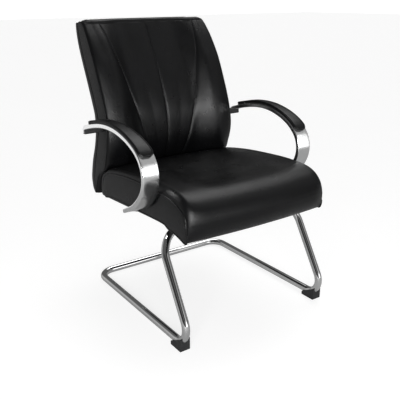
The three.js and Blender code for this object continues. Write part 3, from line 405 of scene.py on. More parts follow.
def make_leather(name, color, paler, roughness_low, roughness_high):
    """Leather: creases between fine cells over a soft unevenness, with a cloudy colour and shine."""
    material, tree, shader, place = new_material(name, color, 0.0, roughness_low)
    cells = add_node(
        tree, "TexVoronoi", {"Vector": place, "Scale": LEATHER_CELLS}, feature="DISTANCE_TO_EDGE"
    )
    creases = mapped(tree, cells.outputs["Distance"], 0.0, 1.0, 0.0, CREASE_WIDTH)
    soft = bumped(tree, noise(tree, place, 60, 3), SOFT_DEPTH, 0.1)
    set_inputs(tree, shader, {
        "Base Color": mixed(tree, noise(tree, place, 11, 3), color, paler),
        "Roughness": mapped(tree, noise(tree, place, 34, 4), roughness_low, roughness_high),
        "Normal": bumped(tree, creases, CREASE_DEPTH, 0.55, soft),
        "Specular IOR Level": 0.3,
    })
    return material


finishes["black_leather"] = make_leather(
    "black leather", (0.0022, 0.0022, 0.0025), (0.0034, 0.0035, 0.004), 0.27, 0.34
)
print("leather cells are about", round(1000 / LEATHER_CELLS, 2), "mm wide")

# %% [markdown]
# Thread is a little paler than the leather and has a silky twist, shown by fine drawn-out noise.

# %% Thread
def make_thread(name, color, paler):
    """Thread: fine streaks of two greys with a little sheen."""
    material, tree, shader, place = new_material(name, color, 0.0, 0.5)
    twist = noise(tree, stretched(tree, place, (1, 1, 0.35)), 1500, 1)
    set_inputs(tree, shader, {"Base Color": mixed(tree, twist, color, paler), "Sheen Weight": 0.3})
    return material


thread = make_thread("grey thread", (0.05, 0.05, 0.052), (0.09, 0.09, 0.094))

# %% [markdown]
# The arm loops are aluminium bars, brushed along their length and then polished. The brushing is noise
# that is stretched along the bar, so highlights draw out across it.

# %% Polished aluminium
def make_brushed(name, color, paler, roughness_low, roughness_high, stretch, scale, depth):
    """Brushed metal: stretched noise for its lines, in colour and bump, and a cloudy roughness."""
    material, tree, shader, place = new_material(name, color, 1.0, roughness_low)
    lines = noise(tree, stretched(tree, place, stretch), scale, 4, 0.6)
    set_inputs(tree, shader, {
        "Base Color": mixed(tree, lines, color, paler),
        "Roughness": mapped(tree, noise(tree, place, 25, 2), roughness_low, roughness_high),
        "Normal": bumped(tree, lines, depth, 1.0),
    })
    return material


finishes["polished_aluminium"] = make_brushed(
    "polished aluminium", (0.83, 0.835, 0.84), (0.9, 0.9, 0.9), 0.17, 0.24, (1.0, 0.02, 0.02), 900, 0.00012
)

# %% [markdown]
# Chrome plating is almost a mirror. Real plating is never perfectly even: a faint waviness bends the
# reflections, and thin haze makes some stretches a little duller.

# %% Chrome
def make_chrome():
    """Chrome: haze in the roughness, a faint tint in the colour and a slow waviness in the bump."""
    material, tree, shader, place = new_material("chrome", (0.86, 0.865, 0.87), 1.0, 0.05)
    set_inputs(tree, shader, {
        "Base Color": mixed(tree, noise(tree, place, 9, 1), (0.84, 0.845, 0.85), (0.9, 0.9, 0.9)),
        "Roughness": mapped(tree, noise(tree, place, 40, 5), 0.035, 0.085),
        "Normal": bumped(tree, noise(tree, place, 70, 1), 0.00012, 0.08),
    })
    return material


finishes["chrome"] = make_chrome()

# %% [markdown]
# The glides, the tube's plugs, the seat board and the pad bases are moulded black plastic with a fine
# grain. The seat plate and the brackets are black coated steel, bolts and screws are zinc plated, and
# the back board and the arm blocks are plywood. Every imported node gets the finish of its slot.

# %% Plastic, coated steel, zinc and plywood
def make_moulded(name, color, paler, roughness_low, roughness_high, grain_scale, grain_depth, metallic=0.0):
    """A plain grained finish: clouds of two colours, and a fine grain in roughness and bump."""
    material, tree, shader, place = new_material(name, color, metallic, roughness_low)
    fine = noise(tree, place, grain_scale, 3)
    set_inputs(tree, shader, {
        "Base Color": mixed(tree, noise(tree, place, 45, 3), color, paler),
        "Roughness": mapped(tree, fine, roughness_low, roughness_high),
        "Normal": bumped(tree, fine, grain_depth, 0.4),
    })
    return material


def make_plywood():
    """Plywood: long pale and dark streaks of grain, in colour and bump."""
    material, tree, shader, place = new_material("plywood", (0.55, 0.38, 0.22), 0.0, 0.7)
    grain = noise(tree, stretched(tree, place, (1.0, 1.0, 0.08)), 160, 5)
    set_inputs(tree, shader, {
        "Base Color": mixed(tree, grain, (0.42, 0.27, 0.14), (0.66, 0.48, 0.3)),
        "Normal": bumped(tree, grain, 0.0003, 0.4),
    })
    return material


finishes["black_plastic"] = make_moulded(
    "black plastic", (0.012, 0.012, 0.013), (0.02, 0.02, 0.021), 0.5, 0.68, 1400, 0.00012
)
finishes["black_steel"] = make_moulded(
    "black steel", (0.014, 0.014, 0.015), (0.022, 0.022, 0.023), 0.38, 0.5, 700, 0.00008
)
finishes["zinc_steel"] = make_moulded(
    "zinc steel", (0.5, 0.51, 0.52), (0.62, 0.62, 0.6), 0.26, 0.4, 500, 0.00005, 1.0
)
finishes["plywood"] = make_plywood()

for subpart in frame["record"]["subparts"]:
    node_mesh = nodes[subpart["node"]].data
    node_mesh.materials.clear()
    node_mesh.materials.append(finishes[subpart["material_slot"]])
print("finishes:", ", ".join(finishes))

# %% [markdown]
# ## The sled
# One chrome tube of 25 mm is bent six times: from under the seat out to each side, down the leg, round
# the toe, back along the floor and across at the rear. Its middle line is straight runs joined by arcs,
# and the skin has 40 sides, so the long thin reflections stay smooth.

# %% Middle line of the sled
TUBE_RADIUS = 0.0125
SLED_HALF_WIDTH = 0.279
RUNNER_LENGTH = 0.656
GLIDE_LIFT = 0.0075
LEG_TOP = np.array([0.275, 0.194, 0.344])
TUBE_END = 0.055
BEND_RADII = (0.094, 0.053, 0.055, 0.055, 0.053, 0.094)
BEND_STEPS = 28
SLED_STEP = 0.0045
SLED_SIDES = 40
SLED_REFERENCE = (0.6, -0.6, 0.5)


def rounded_path(corners, radii, steps):
    """Straight runs joined by arcs. An arc of radius r starts r times tan(turn / 2) before its corner
    and follows start + r (sin a) into + r (1 - cos a) inward."""
    points = [corners[:1]]
    for before, corner, after, radius in zip(corners, corners[1:], corners[2:], radii):
        into, out = unit(corner - before), unit(after - corner)
        turn = np.arccos(into @ out)
        inward = unit(out - into * (into @ out))
        start = corner - into * radius * np.tan(turn / 2)
        a = np.linspace(0, turn, steps)[:, None]
        points.append(start + radius * (np.sin(a) * into + (1 - np.cos(a)) * inward))
    points.append(corners[-1:])
    return np.concatenate(points)


def on_side(points, side):
    """Points of the right half, kept there for side 1 and mirrored to the left for side -1."""
    return points * np.array([side, 1, 1])


right_side = np.array([
    LEG_TOP,
    [SLED_HALF_WIDTH, 0, TUBE_RADIUS + GLIDE_LIFT],
    [SLED_HALF_WIDTH, RUNNER_LENGTH, TUBE_RADIUS],
])
right_end = np.array([TUBE_END, LEG_TOP[1], LEG_TOP[2]])
sled_corners = np.array([
    on_side(right_end, -1), *on_side(right_side, -1), *right_side[::-1], right_end
])
sled_path = even_path(rounded_path(sled_corners, BEND_RADII, BEND_STEPS), SLED_STEP)
print("sled tube is", round(float(run_of(sled_path)[-1]), 3), "m long")

# %% Chrome tube
sled = new_skin(
    "sled_tube",
    tube_rings(sled_path, TUBE_RADIUS, SLED_SIDES, SLED_REFERENCE),
    "chrome",
    (((1, 0, 0), 0.0, 3), ((-1, 0, 0), 0.0, 3)),
)
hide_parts("sled_frame")

# %% [markdown]
# ## The seat cushion
# The cushion is a waterfall seat: its top runs level, rolls over the front edge and hangs below it. Its
# side view is a table whose rows hold depth and height along the middle, then depth and height along the
# side seam. They are shares of the seat's depth and thickness, or of the depth of the hanging lip. A
# quarter circle across the shoulder leads from the middle's row to the side's.

# %% Side view of the seat
SEAT_TILT = 0.0669
SEAT_HALF_WIDTH = 0.268
SEAT_DEPTH = 0.620
SEAT_THICKNESS = 0.123
SEAT_FRONT_SETBACK = 0.017
SEAT_SHOULDER = 0.020
SEAT_FRONT_CORNER = 0.060
SEAT_FRONT_BOW = 0.015
SEAT_DISH = 0.021
SEAT_REAR_CROWN = 0.004
BOLSTER_FOOT = 0.088
BOLSTER_CREST = 0.200
LIP_DEPTH = 0.0835
CUSHION_UNDERSIDE = 0.0286
SEAT_SIDE_SWELL = 0.004

seat_top_shares = np.array([
    [0.0, 0.235, 0.036, 0.15],
    [0.004, 0.38, 0.041, 0.26],
    [0.02, 0.56, 0.053, 0.4],
    [0.055, 0.735, 0.08, 0.525],
    [0.107, 0.862, 0.122, 0.62],
    [0.175, 0.927, 0.181, 0.7],
    [0.258, 0.964, 0.26, 0.757],
    [0.344, 0.984, 0.345, 0.795],
    [0.52, 0.99, 0.52, 0.828],
    [0.663, 0.964, 0.663, 0.82],
    [0.796, 0.911, 0.796, 0.758],
    [0.88, 0.84, 0.868, 0.67],
    [0.94, 0.69, 0.895, 0.585],
    [0.968, 0.52, 0.91, 0.45],
    [0.988, 0.28, 0.918, 0.25],
    [0.994, 0.08, 0.918, 0.08],
])
seat_under_shares = np.array([
    [0.985, 0.0, 0.91, 0.0],
    [0.8, 0.0, 0.8, 0.06],
    [0.6, 0.0, 0.6, 0.05],
    [0.4, 0.0, 0.4, 0.03],
])
seat_lip_shares = np.array([
    [1.0, 0.0, 1.75, 0.0],
    [0.96, -0.12, 1.5, -0.08],
    [0.8, -0.2, 1.1, -0.12],
    [0.6, -0.25, 0.7, -0.2],
    [0.4, -0.26, 0.42, -0.26],
    [0.18, -0.13, 0.3, -0.15],
    [0.04, 0.06, 0.27, 0.01],
])
seat_scale = np.array([SEAT_DEPTH, SEAT_THICKNESS, SEAT_DEPTH, SEAT_THICKNESS])
lip_scale = np.array([LIP_DEPTH, SEAT_THICKNESS, LIP_DEPTH, SEAT_THICKNESS])
seat_top = seat_top_shares * seat_scale
seat_under = np.concatenate([
    seat_top[-1:], seat_under_shares * seat_scale, seat_lip_shares * lip_scale, seat_top[:1],
])


def run_points(rows, count):
    """Reads all columns of a table at even steps of the length of its first two columns."""
    place = run_of(rows[:, :2])
    at = np.linspace(0, place[-1], count, endpoint=False)
    columns = [curve_through(np.stack([place, column], axis=1))(at) for column in rows.T]
    return np.stack(columns, axis=1)


SEAT_RUN = 150
seat_rows = np.concatenate([run_points(seat_top, SEAT_RUN), run_points(seat_under, SEAT_RUN)])
print("seat side view:", len(seat_rows), "points")

# %% [markdown]
# ## The backrest
# The side view of the back bulges forward at the small of the back and then leans away. Its wings come
# forward at both sides like a shallow bucket. The same few curves give the front face, the hidden board
# behind it and the rear skin, so they are set down before the seat, which has to stay clear of them.

# %% Curves of the backrest
BACK_FLOOR_HEIGHT = 0.337
BACK_HEIGHT = 0.610
BACK_LUMBAR_SETBACK = 0.576
BACK_SWEEP = 0.170
BACK_HALF_WIDTH = 0.266
WING_DEPTH = 0.045
PANEL_LIFT = 0.006
PANEL_BULGE = 0.002
SEAM_TOP_OFFSET = 0.197
SEAM_FOOT_OFFSET = 0.048
BACK_EDGE_ROUNDING = 0.026
EDGE_ROLL_DEPTH = 0.006
EDGE_ROLL_WIDTH = 0.008
EDGE_SWEEP_TOP_DEPTH = 0.003
EDGE_SWEEP_LOW_DEPTH = 0.014
EDGE_SWEEP_TOP_WIDTH = 0.018
EDGE_SWEEP_LOW_WIDTH = 0.048
BACK_REAR_CROWN = 0.014
BACK_CORNER_DROP = 0.006
WING_START = 0.42
WING_FULL = 0.78
CUSHION_GAP = 0.002

back_middle = curve_through([
    (0.0, 0.45), (0.06, 0.39), (0.14, 0.26), (0.215, 0.116), (0.3, 0.018), (0.39, 0.0), (0.48, 0.03),
    (0.57, 0.135), (0.667, 0.288), (0.769, 0.476), (0.865, 0.67), (0.93, 0.8), (1.0, 0.95),
])
back_board_pairs = np.array([
    (0.0, 0.5), (0.1, 0.5), (0.2, 0.41), (0.3, 0.265), (0.39, 0.17), (0.48, 0.2), (0.57, 0.33),
    (0.667, 0.51), (0.769, 0.7), (0.865, 0.88), (0.93, 0.98), (1.0, 1.07),
])
back_rear = curve_through([
    (0.0, 0.63), (0.02, 0.75), (0.06, 0.805), (0.1, 0.8), (0.2, 0.68), (0.3, 0.51), (0.39, 0.44),
    (0.48, 0.5), (0.57, 0.65), (0.667, 0.8), (0.769, 0.975), (0.865, 1.14), (0.93, 1.22), (0.975, 1.23),
    (1.0, 1.165),
])
back_width = curve_through([
    (0.0, 1.0), (0.35, 1.0), (0.5, 0.982), (0.75, 0.975), (0.87, 0.965), (1.0, 0.945),
])
wing_reach = curve_through([
    (0.0, 0.1), (0.1, 0.22), (0.14, 0.4), (0.18, 0.98), (0.25, 1.0), (0.37, 1.1), (0.47, 1.05),
    (0.75, 1.05), (0.82, 0.96), (0.89, 0.82), (0.95, 0.6), (1.0, 0.38),
])


def back_board(height):
    """Setback share of the hidden board: straight lines between the pairs."""
    return np.interp(height, *back_board_pairs.T)


def back_setback(shares):
    """Setback in metres for shares of the back's sweep."""
    return BACK_LUMBAR_SETBACK + BACK_SWEEP * shares


def back_edge(height):
    """Half the width of the backrest at a height share."""
    return BACK_HALF_WIDTH * back_width(height)


def back_envelope(x, height):
    """Front face without its seams: the side view, less the wings and the thickness of the leather."""
    across = np.abs(x) / back_edge(height)
    wing = WING_DEPTH * wing_reach(height) * smooth(between(across, WING_START, WING_FULL))
    return back_setback(back_middle(height)) - wing - PANEL_LIFT


# %% [markdown]
# The seat's top is dished between two soft bolsters, its front edge bows forward a little, and its rear
# end gives way to the backrest. Leather over foam is never quite even, so low waves of under a
# millimetre run over it. The numbers below say where each of these forms starts and where it is full.

# %% Surface of the seat
DISH_FRONT = (0.04, 0.2)
DISH_REAR = (0.54, 0.26)
FRONT_CORNER_SHARE = 0.25
FRONT_FADE_SHARE = 0.2
REAR_FADE_SHARE = 0.9
TOP_LEVEL_SHARES = (0.6, 0.9)
SEAT_WAVE = 0.0007
SEAT_RINGS = 150


def gentle_waves(x, y, z):
    """Low waves from sines of different lengths and directions, about 1 high at most."""
    first = np.sin(31 * x + 12 * y + 5 * z) * np.sin(17 * y - 9 * x + 1.3)
    second = np.sin(53 * y + 23 * x + 2.1) * np.sin(41 * x - 29 * z + 0.7)
    return 0.6 * first + 0.4 * second


def to_room(points):
    """Turns points of the seat, which leans back round the axis of the tube's top run."""
    x, y, z = points[..., 0], points[..., 1], points[..., 2]
    sine, cosine = np.sin(SEAT_TILT), np.cos(SEAT_TILT)
    return np.stack([x, LEG_TOP[1] + y * cosine + z * sine, LEG_TOP[2] - y * sine + z * cosine], axis=-1)


def seat_dish(x, depth):
    """How far the top lies below the table: a hollow between the bolsters, less a low crown behind it."""
    across = np.abs(x) / (SEAT_HALF_WIDTH - SEAT_SHOULDER)
    hollow = SEAT_DISH * smooth(between(depth, *DISH_FRONT)) * smooth(between(depth, *DISH_REAR))
    crown = SEAT_REAR_CROWN * smooth(between(depth, *DISH_REAR[::-1])) * np.clip(1 - across**2, 0, None)
    return hollow * (1 - smooth(between(np.abs(x), BOLSTER_FOOT, BOLSTER_CREST))) - crown


def seat_surface(x, rows):
    """Points of the cushion at places x across it: each row slides from the side table to the middle
    table by a quarter circle, over the shoulder in height and over a wider corner in depth. The dish
    lowers the top, and nothing reaches past the front of the backrest."""
    x = x[:, None]
    depth, rise, side_depth, side_rise = rows.T[:, None, :]
    inset = SEAT_HALF_WIDTH - np.abs(x)
    across = np.abs(x) / (SEAT_HALF_WIDTH - SEAT_SHOULDER)
    front = 1 - between(depth, 0, SEAT_DEPTH * FRONT_CORNER_SHARE)
    corner = blend(SEAT_SHOULDER, SEAT_FRONT_CORNER, front)
    full = quarter_round(inset / SEAT_SHOULDER)
    ahead = quarter_round(inset / corner)
    on_top = between(rise / SEAT_THICKNESS, *TOP_LEVEL_SHARES)
    of_front = between(depth, 0, SEAT_DEPTH * FRONT_FADE_SHARE)
    of_rear = between(depth, SEAT_DEPTH, SEAT_DEPTH * REAR_FADE_SHARE)
    bow = SEAT_FRONT_BOW * (1 - across**2) * front * ahead
    y = blend(side_depth, depth, ahead) - bow
    z = blend(side_rise, rise, full) - seat_dish(x, depth) * on_top * of_front * of_rear
    y = y + SEAT_FRONT_SETBACK - LEG_TOP[1]
    z = z + CUSHION_UNDERSIDE
    room = to_room(np.stack(np.broadcast_arrays(x, y, z), axis=-1))
    limit = back_envelope(room[..., 0], (room[..., 2] - BACK_FLOOR_HEIGHT) / BACK_HEIGHT) - CUSHION_GAP
    room[..., 1] -= np.clip(room[..., 1] - limit, 0, None)
    room[..., 2] += SEAT_WAVE * gentle_waves(*np.moveaxis(room, -1, 0)) * on_top * full
    return room


seat_places = SEAT_HALF_WIDTH * np.sin(np.pi / 2 * np.linspace(-1, 1, SEAT_RINGS))
seat_rings = seat_surface(seat_places, seat_rows)
seat = new_skin("seat_pad", seat_rings, "black_leather", side_ends(SEAT_SIDE_SWELL, 10))
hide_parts("seat_cushion")

# %% [markdown]
# A piped seam joins the top panel to the side panel, and a rolled hem closes the side panel below. Both
# are thin beads of leather along an edge of the side. Two rows of stitches run beside the piping on the
# top panel.

# %% Piping, hem and stitches of the seat
SIDES = ((-1, "left"), (1, "right"))
PIPING_RADIUS = 0.003
HEM_RADIUS = 0.0032
BEAD_STEP = 0.004
BEAD_SIDES = 12
STITCH_INSETS = (0.0009, 0.0042)
STITCH_LIFT = 0.0002
STITCH_TRIM = slice(6, -8)
INSET_STEP = 0.001

top_run = slice(0, SEAT_RUN)
under_run = slice(SEAT_RUN, None)


def seat_line(side, inset, run):
    """A line of the seat's surface along one run of its side view, at an inset from its side."""
    return seat_surface(np.array([side * (SEAT_HALF_WIDTH - inset)]), seat_rows[run])[0]


for prefix, run, trim, radius in (
    ("seat_piping_", top_run, slice(4, -6), PIPING_RADIUS),
    ("seat_hem_", under_run, slice(6, -6), HEM_RADIUS),
):
    for side, word in SIDES:
        path = even_path(seat_line(side, 0, run)[trim], BEAD_STEP)
        new_tube(prefix + word, path, radius, BEAD_SIDES, (side, 0, 0), "black_leather")

seam_paths, seam_normals = [], []
for side in (-1, 1):
    for inset in STITCH_INSETS:
        row = seat_line(side, inset, top_run)
        across = unit(seat_line(side, inset + INSET_STEP, top_run) - row) * side
        normal = -unit(np.cross(np.gradient(row, axis=0), across))
        seam_paths.append((row + normal * STITCH_LIFT)[STITCH_TRIM])
        seam_normals.append(normal[STITCH_TRIM])
new_stitches("seat_stitches", seam_paths, seam_normals)

# %% [markdown]
# The front of the backrest is sewn from four panels. Each panel is nearly flat and turns down at its
# seams by a quarter of an ellipse, so a seam is one sharp line between two rounded shoulders. The
# shoulders grow wider and deeper towards the seat. The outer panels curve forward into the wings and
# roll over at the edge, where the side strip begins.

# %% Front face of the backrest
SHOULDER_TOP_DEPTH = 0.003
SHOULDER_LOW_DEPTH = 0.0055
SHOULDER_TOP_WIDTH = 0.008
SHOULDER_LOW_WIDTH = 0.016
THREAD_LINE_DEPTH = 0.0006
THREAD_LINE_PLACE = 0.0034
THREAD_LINE_WIDTH = 0.0007
SHOULDER_LOW_HEIGHT = 0.3
SWEEP_LOW_HEIGHT = 0.6
SEAM_FADE_HEIGHT = 0.95
SEAM_END_HEIGHT = 0.985


def seam_offset(height):
    """How far the outer seams lie from the middle at a height share."""
    return blend(SEAM_FOOT_OFFSET, SEAM_TOP_OFFSET, height)


def back_across(s, height):
    """Place across the back: s is 0 at the middle seam, 0.5 at the outer seams and 1 at the edges."""
    size = np.abs(s)
    inner = seam_offset(height) * between(size, 0, 0.5)
    outer = (back_edge(height) - seam_offset(height)) * between(size, 0.5, 1)
    return np.sign(s) * (inner + outer)


def back_front(s, height):
    """Setback of the front face: the envelope, a slight bulge on each panel, the shoulders beside the
    nearest seam, the shallow lines its topstitching draws in, and at the outer edge a wide sweep that
    ends in a tight roll."""
    x = back_across(s, height)
    near = np.minimum(np.abs(x), np.abs(np.abs(x) - seam_offset(height)))
    low = smooth(between(height, SEAM_FADE_HEIGHT, SHOULDER_LOW_HEIGHT))
    depth = blend(SHOULDER_TOP_DEPTH, SHOULDER_LOW_DEPTH, low)
    width = blend(SHOULDER_TOP_WIDTH, SHOULDER_LOW_WIDTH, low)
    fade = smooth(between(height, SEAM_END_HEIGHT, SEAM_FADE_HEIGHT))
    shoulder = depth * (1 - quarter_round(near / width)) * fade
    line = THREAD_LINE_DEPTH * np.exp(-(((near - THREAD_LINE_PLACE) / THREAD_LINE_WIDTH) ** 2)) * fade
    share = np.minimum(np.abs(s), np.abs(np.abs(s) - 0.5))
    flatness = 1 - np.sin(np.pi * np.clip(2 * share / 0.5, 0, 1))
    inboard = (1 - np.abs(s)) * (back_edge(height) - seam_offset(height)) * 2
    roll = EDGE_ROLL_DEPTH * (1 - quarter_round(inboard / EDGE_ROLL_WIDTH))
    full = smooth(between(height, SEAM_FADE_HEIGHT, SWEEP_LOW_HEIGHT))
    sweep_depth = blend(EDGE_SWEEP_TOP_DEPTH, EDGE_SWEEP_LOW_DEPTH, full)
    sweep_width = blend(EDGE_SWEEP_TOP_WIDTH, EDGE_SWEEP_LOW_WIDTH, full)
    sweep = sweep_depth * np.clip(1 - inboard / sweep_width, 0, None) ** 2
    return back_envelope(x, height) + PANEL_BULGE * flatness + shoulder + line + roll + sweep


def back_points(x, setback, height):
    """Points of the backrest from places across it, setbacks and height shares."""
    return np.stack(np.broadcast_arrays(x, setback, BACK_FLOOR_HEIGHT + BACK_HEIGHT * height), axis=-1)


# %% [markdown]
# The cushion's outline, seen from the side, goes up the front face, over a rounded top and down along
# the board. Rings of this outline are set across the back, closely at the seams and at the edges.

# %% Back cushion
BACK_TOP_SHARE = 0.98
FRONT_RUN = 210
CROWN_RUN = 28
CORNER_FALL_START = 0.8
BACK_WAVE = 0.0006
WAVE_FADE = 0.08
BACK_SIDE_SWELL = 0.0015
BACK_RINGS = 230
SEAM_REACH = 0.05
SEAM_CROWDING = 9

crown_rise = curve_through([(0, 0), (0.12, 0.7), (0.35, 1.0), (0.7, 0.95), (0.93, 0.6), (1.0, 0.0)])


def corner_fall(s):
    """The top edge falls away a little towards its two corners."""
    return BACK_CORNER_DROP * smooth(between(np.abs(s), CORNER_FALL_START, 1))


def back_rings(s):
    """Rings of the back cushion: front run, crown, then the run down the board, all for places s."""
    s = s[:, None]
    height = np.linspace(0, BACK_TOP_SHARE, FRONT_RUN)[None]
    front = back_points(back_across(s, height), back_front(s, height), height)
    reach = (1 - np.cos(np.pi * np.linspace(0, 1, CROWN_RUN + 2)[1:-1])[None]) / 2
    near = front[:, -1:, 1]
    far = back_setback(back_board(BACK_TOP_SHARE))
    rise = crown_rise(reach)
    top = (1 - BACK_TOP_SHARE) * BACK_HEIGHT * rise - corner_fall(s) * smooth(between(rise, 0, 0.5))
    crown = np.stack(np.broadcast_arrays(
        front[:, -1:, 0], blend(near, far, reach), front[:, -1:, 2] + top
    ), axis=-1)
    down = height[:, ::-1]
    rear = back_points(back_across(s, down), back_setback(back_board(down)), down)
    return np.concatenate([front, crown, rear], axis=1)


back_places = clustered([-1, -0.5, 0, 0.5, 1], BACK_RINGS, SEAM_REACH, SEAM_CROWDING)
cushion_rings = back_rings(back_places)
waves = BACK_WAVE * gentle_waves(*np.moveaxis(cushion_rings[:, :FRONT_RUN], -1, 0))
off_edge = smooth(between(1 - np.abs(back_places), 0, WAVE_FADE))
cushion_rings[:, :FRONT_RUN, 1] += waves * off_edge[:, None]
back = new_skin("back_pad", cushion_rings, "black_leather", side_ends(BACK_SIDE_SWELL, 6))
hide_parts("back_cushion")

# %% [markdown]
# Behind the board a padded leather skin closes the back. It is fuller in the middle than at its sides
# and ends in a rounded edge that meets the front cushion.

# %% Rear skin of the backrest
BOARD_CLEARANCE = 0.0005
SKIN_EDGE_BULK = 0.4
SKIN_EDGE_FALL = 0.006
SKIN_RINGS = 110
SKIN_REAR_RUN = 230


def shell_rings(share):
    """Rings of the rear skin: up the board's face, over the rounded top and down the rear."""
    share = share[:, None]
    full = quarter_round((1 - np.abs(share)) * BACK_HALF_WIDTH / BACK_EDGE_ROUNDING)
    bulk = blend(SKIN_EDGE_BULK, 1, full)
    height = np.linspace(0, BACK_TOP_SHARE, FRONT_RUN)[None]
    near = back_setback(back_board(height)) + BOARD_CLEARANCE
    face = back_points(share * back_edge(height), near, height)
    down = np.linspace(1, 0, SKIN_REAR_RUN)[None]
    near = back_setback(back_board(np.minimum(down, BACK_TOP_SHARE))) + BOARD_CLEARANCE
    depth = back_setback(back_rear(down)) + BACK_REAR_CROWN * (1 - share**2) - near
    rear = back_points(share * back_edge(down), near + depth * bulk, down)
    fall = corner_fall(share) + SKIN_EDGE_FALL * (1 - bulk)
    rear[..., 2] -= fall * smooth(between(down, BACK_TOP_SHARE, 1))
    return np.concatenate([face, rear], axis=1)


shell_places = np.sin(np.pi / 2 * np.linspace(-1, 1, SKIN_RINGS))
shell = new_skin("back_skin", shell_rings(shell_places), "black_leather", side_ends(BACK_SIDE_SWELL, 5))
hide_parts("back_shell")

# %% [markdown]
# Rows of stitches lie in the three valleys of the front. Down each side of the backrest a thin bead of
# leather marks the edge where the side strip is sewn to the outer panel.

# %% Stitches and beads of the backrest
SEAM_LOW_HEIGHT = 0.12
SEAM_TOP_HEIGHT = 0.945
SEAM_STITCH_LIFT = 0.0006
SEAM_STEPS = 160
PLACE_STEP = 0.002
EDGE_BEAD_RADIUS = 0.0017
EDGE_BEAD_SIDES = 10
EDGE_BEAD_HEIGHTS = (0.02, 0.965)
EDGE_BEAD_STEPS = 240

back_paths, back_normals = [], []
height = np.linspace(SEAM_LOW_HEIGHT, SEAM_TOP_HEIGHT, SEAM_STEPS)
for s in (-0.5, 0.0, 0.5):
    seam, beside = (
        back_points(back_across(place, height), back_front(place, height), height)
        for place in (s, s + PLACE_STEP)
    )
    normal = unit(np.cross(beside - seam, np.gradient(seam, axis=0)))
    back_paths.append(seam + normal * SEAM_STITCH_LIFT)
    back_normals.append(normal)
new_stitches("back_stitches", back_paths, back_normals)

height = np.linspace(*EDGE_BEAD_HEIGHTS, EDGE_BEAD_STEPS)
for side, word in SIDES:
    edge = back_points(side * back_edge(height), back_front(side * np.ones_like(height), height), height)
    new_tube(
        "back_edge_bead_" + word, edge, EDGE_BEAD_RADIUS, EDGE_BEAD_SIDES, (side, 0, 0), "black_leather"
    )

# %% [markdown]
# ## The arm loops
# Each arm is one flat aluminium bar, bent from a hook behind the backrest over a crown, down the front
# and in under the seat. A smooth curve through 19 points is its middle line. The bar is a rounded
# rectangle carried along it, and the last stretch turns inwards and lies flat on the seat board.

# %% Line of an arm
ARM_HALF_SPACING = 0.332
ARM_WIDTH = 0.055
ARM_REAR_WIDTH = 0.034
ARM_THICKNESS = 0.014
ARM_LOOP_DEPTH = 0.400
ARM_LOOP_HEIGHT = 0.240
ARM_FRONT_SETBACK = 0.178
ARM_CROWN_HEIGHT = 0.637
ARM_EDGE = 0.0028
ARM_NARROW_SHARE = 0.3
ARM_FULL_SHARE = 0.62
ARM_SWELL = 0.35
ARM_SWELL_PLACE = 0.9
ARM_SWELL_WIDTH = 0.07
ARM_STATIONS = 401

arm_line_shares = np.array([
    [1.0175, 0.204], [1.016, 0.165], [0.998, 0.138], [0.96, 0.118], [0.88, 0.082], [0.77, 0.042],
    [0.66, 0.012], [0.54, 0.0], [0.42, 0.01], [0.305, 0.045], [0.2, 0.099], [0.107, 0.176],
    [0.042, 0.275], [0.006, 0.404], [0.004, 0.542], [0.036, 0.683], [0.1, 0.818], [0.175, 0.92],
    [0.265, 0.992],
])


def even_spline(points, count, steps=60):
    """Curve through points whose slope at each is half the chord between its neighbours, read at even
    steps of its length."""
    padded = np.concatenate([points[:1], points, points[-1:]])
    t = np.linspace(0, 1, steps, endpoint=False)[None, :, None]
    p0, p1, p2, p3 = (padded[k:len(padded) - 3 + k, None] for k in range(4))
    curve = 0.5 * (
        2 * p1 + (p2 - p0) * t + (2 * p0 - 5 * p1 + 4 * p2 - p3) * t**2 + (3 * p1 - p0 - 3 * p2 + p3) * t**3
    )
    curve = np.concatenate([curve.reshape(-1, points.shape[1]), points[-1:]])
    run = run_of(curve)
    return read_columns(np.linspace(0, run[-1], count), run, curve), run[-1]


arm_corners = np.stack([
    ARM_FRONT_SETBACK + ARM_LOOP_DEPTH * arm_line_shares[:, 0],
    ARM_CROWN_HEIGHT - ARM_LOOP_HEIGHT * arm_line_shares[:, 1],
], axis=1)
arm_line, arm_length = even_spline(arm_corners, ARM_STATIONS)
arm_along = unit(np.gradient(arm_line, axis=0))
arm_out = np.stack([arm_along[:, 1], -arm_along[:, 0]], axis=1)
print("arm loop is", round(float(arm_length), 3), "m long")


def arm_width(share):
    """The upper run narrows towards the rear, on its inner side."""
    return blend(ARM_REAR_WIDTH, ARM_WIDTH, between(share, ARM_NARROW_SHARE, ARM_FULL_SHARE))


def arm_thickness(share):
    """The bar swells where the foot turns in."""
    return ARM_THICKNESS * (1 + ARM_SWELL * np.exp(-(((share - ARM_SWELL_PLACE) / ARM_SWELL_WIDTH) ** 2)))


def arm_frame(share):
    """Centre of the bar and its outward direction, at shares of the arm's length."""
    place = np.linspace(0, 1, len(arm_line))
    line = read_columns(share, place, arm_line)
    out = unit(read_columns(share, place, arm_out))
    centre = np.column_stack([ARM_HALF_SPACING - arm_width(share) / 2, line])
    return centre, np.column_stack([np.zeros(len(share)), out])


# %% [markdown]
# The cross-section is a rounded rectangle: a quarter circle at each corner and a few points on each
# straight side between two of them. It is laid out at every station of the bar.

# %% Bar section
CORNER_POINTS = 6
STRAIGHT_POINTS = 5


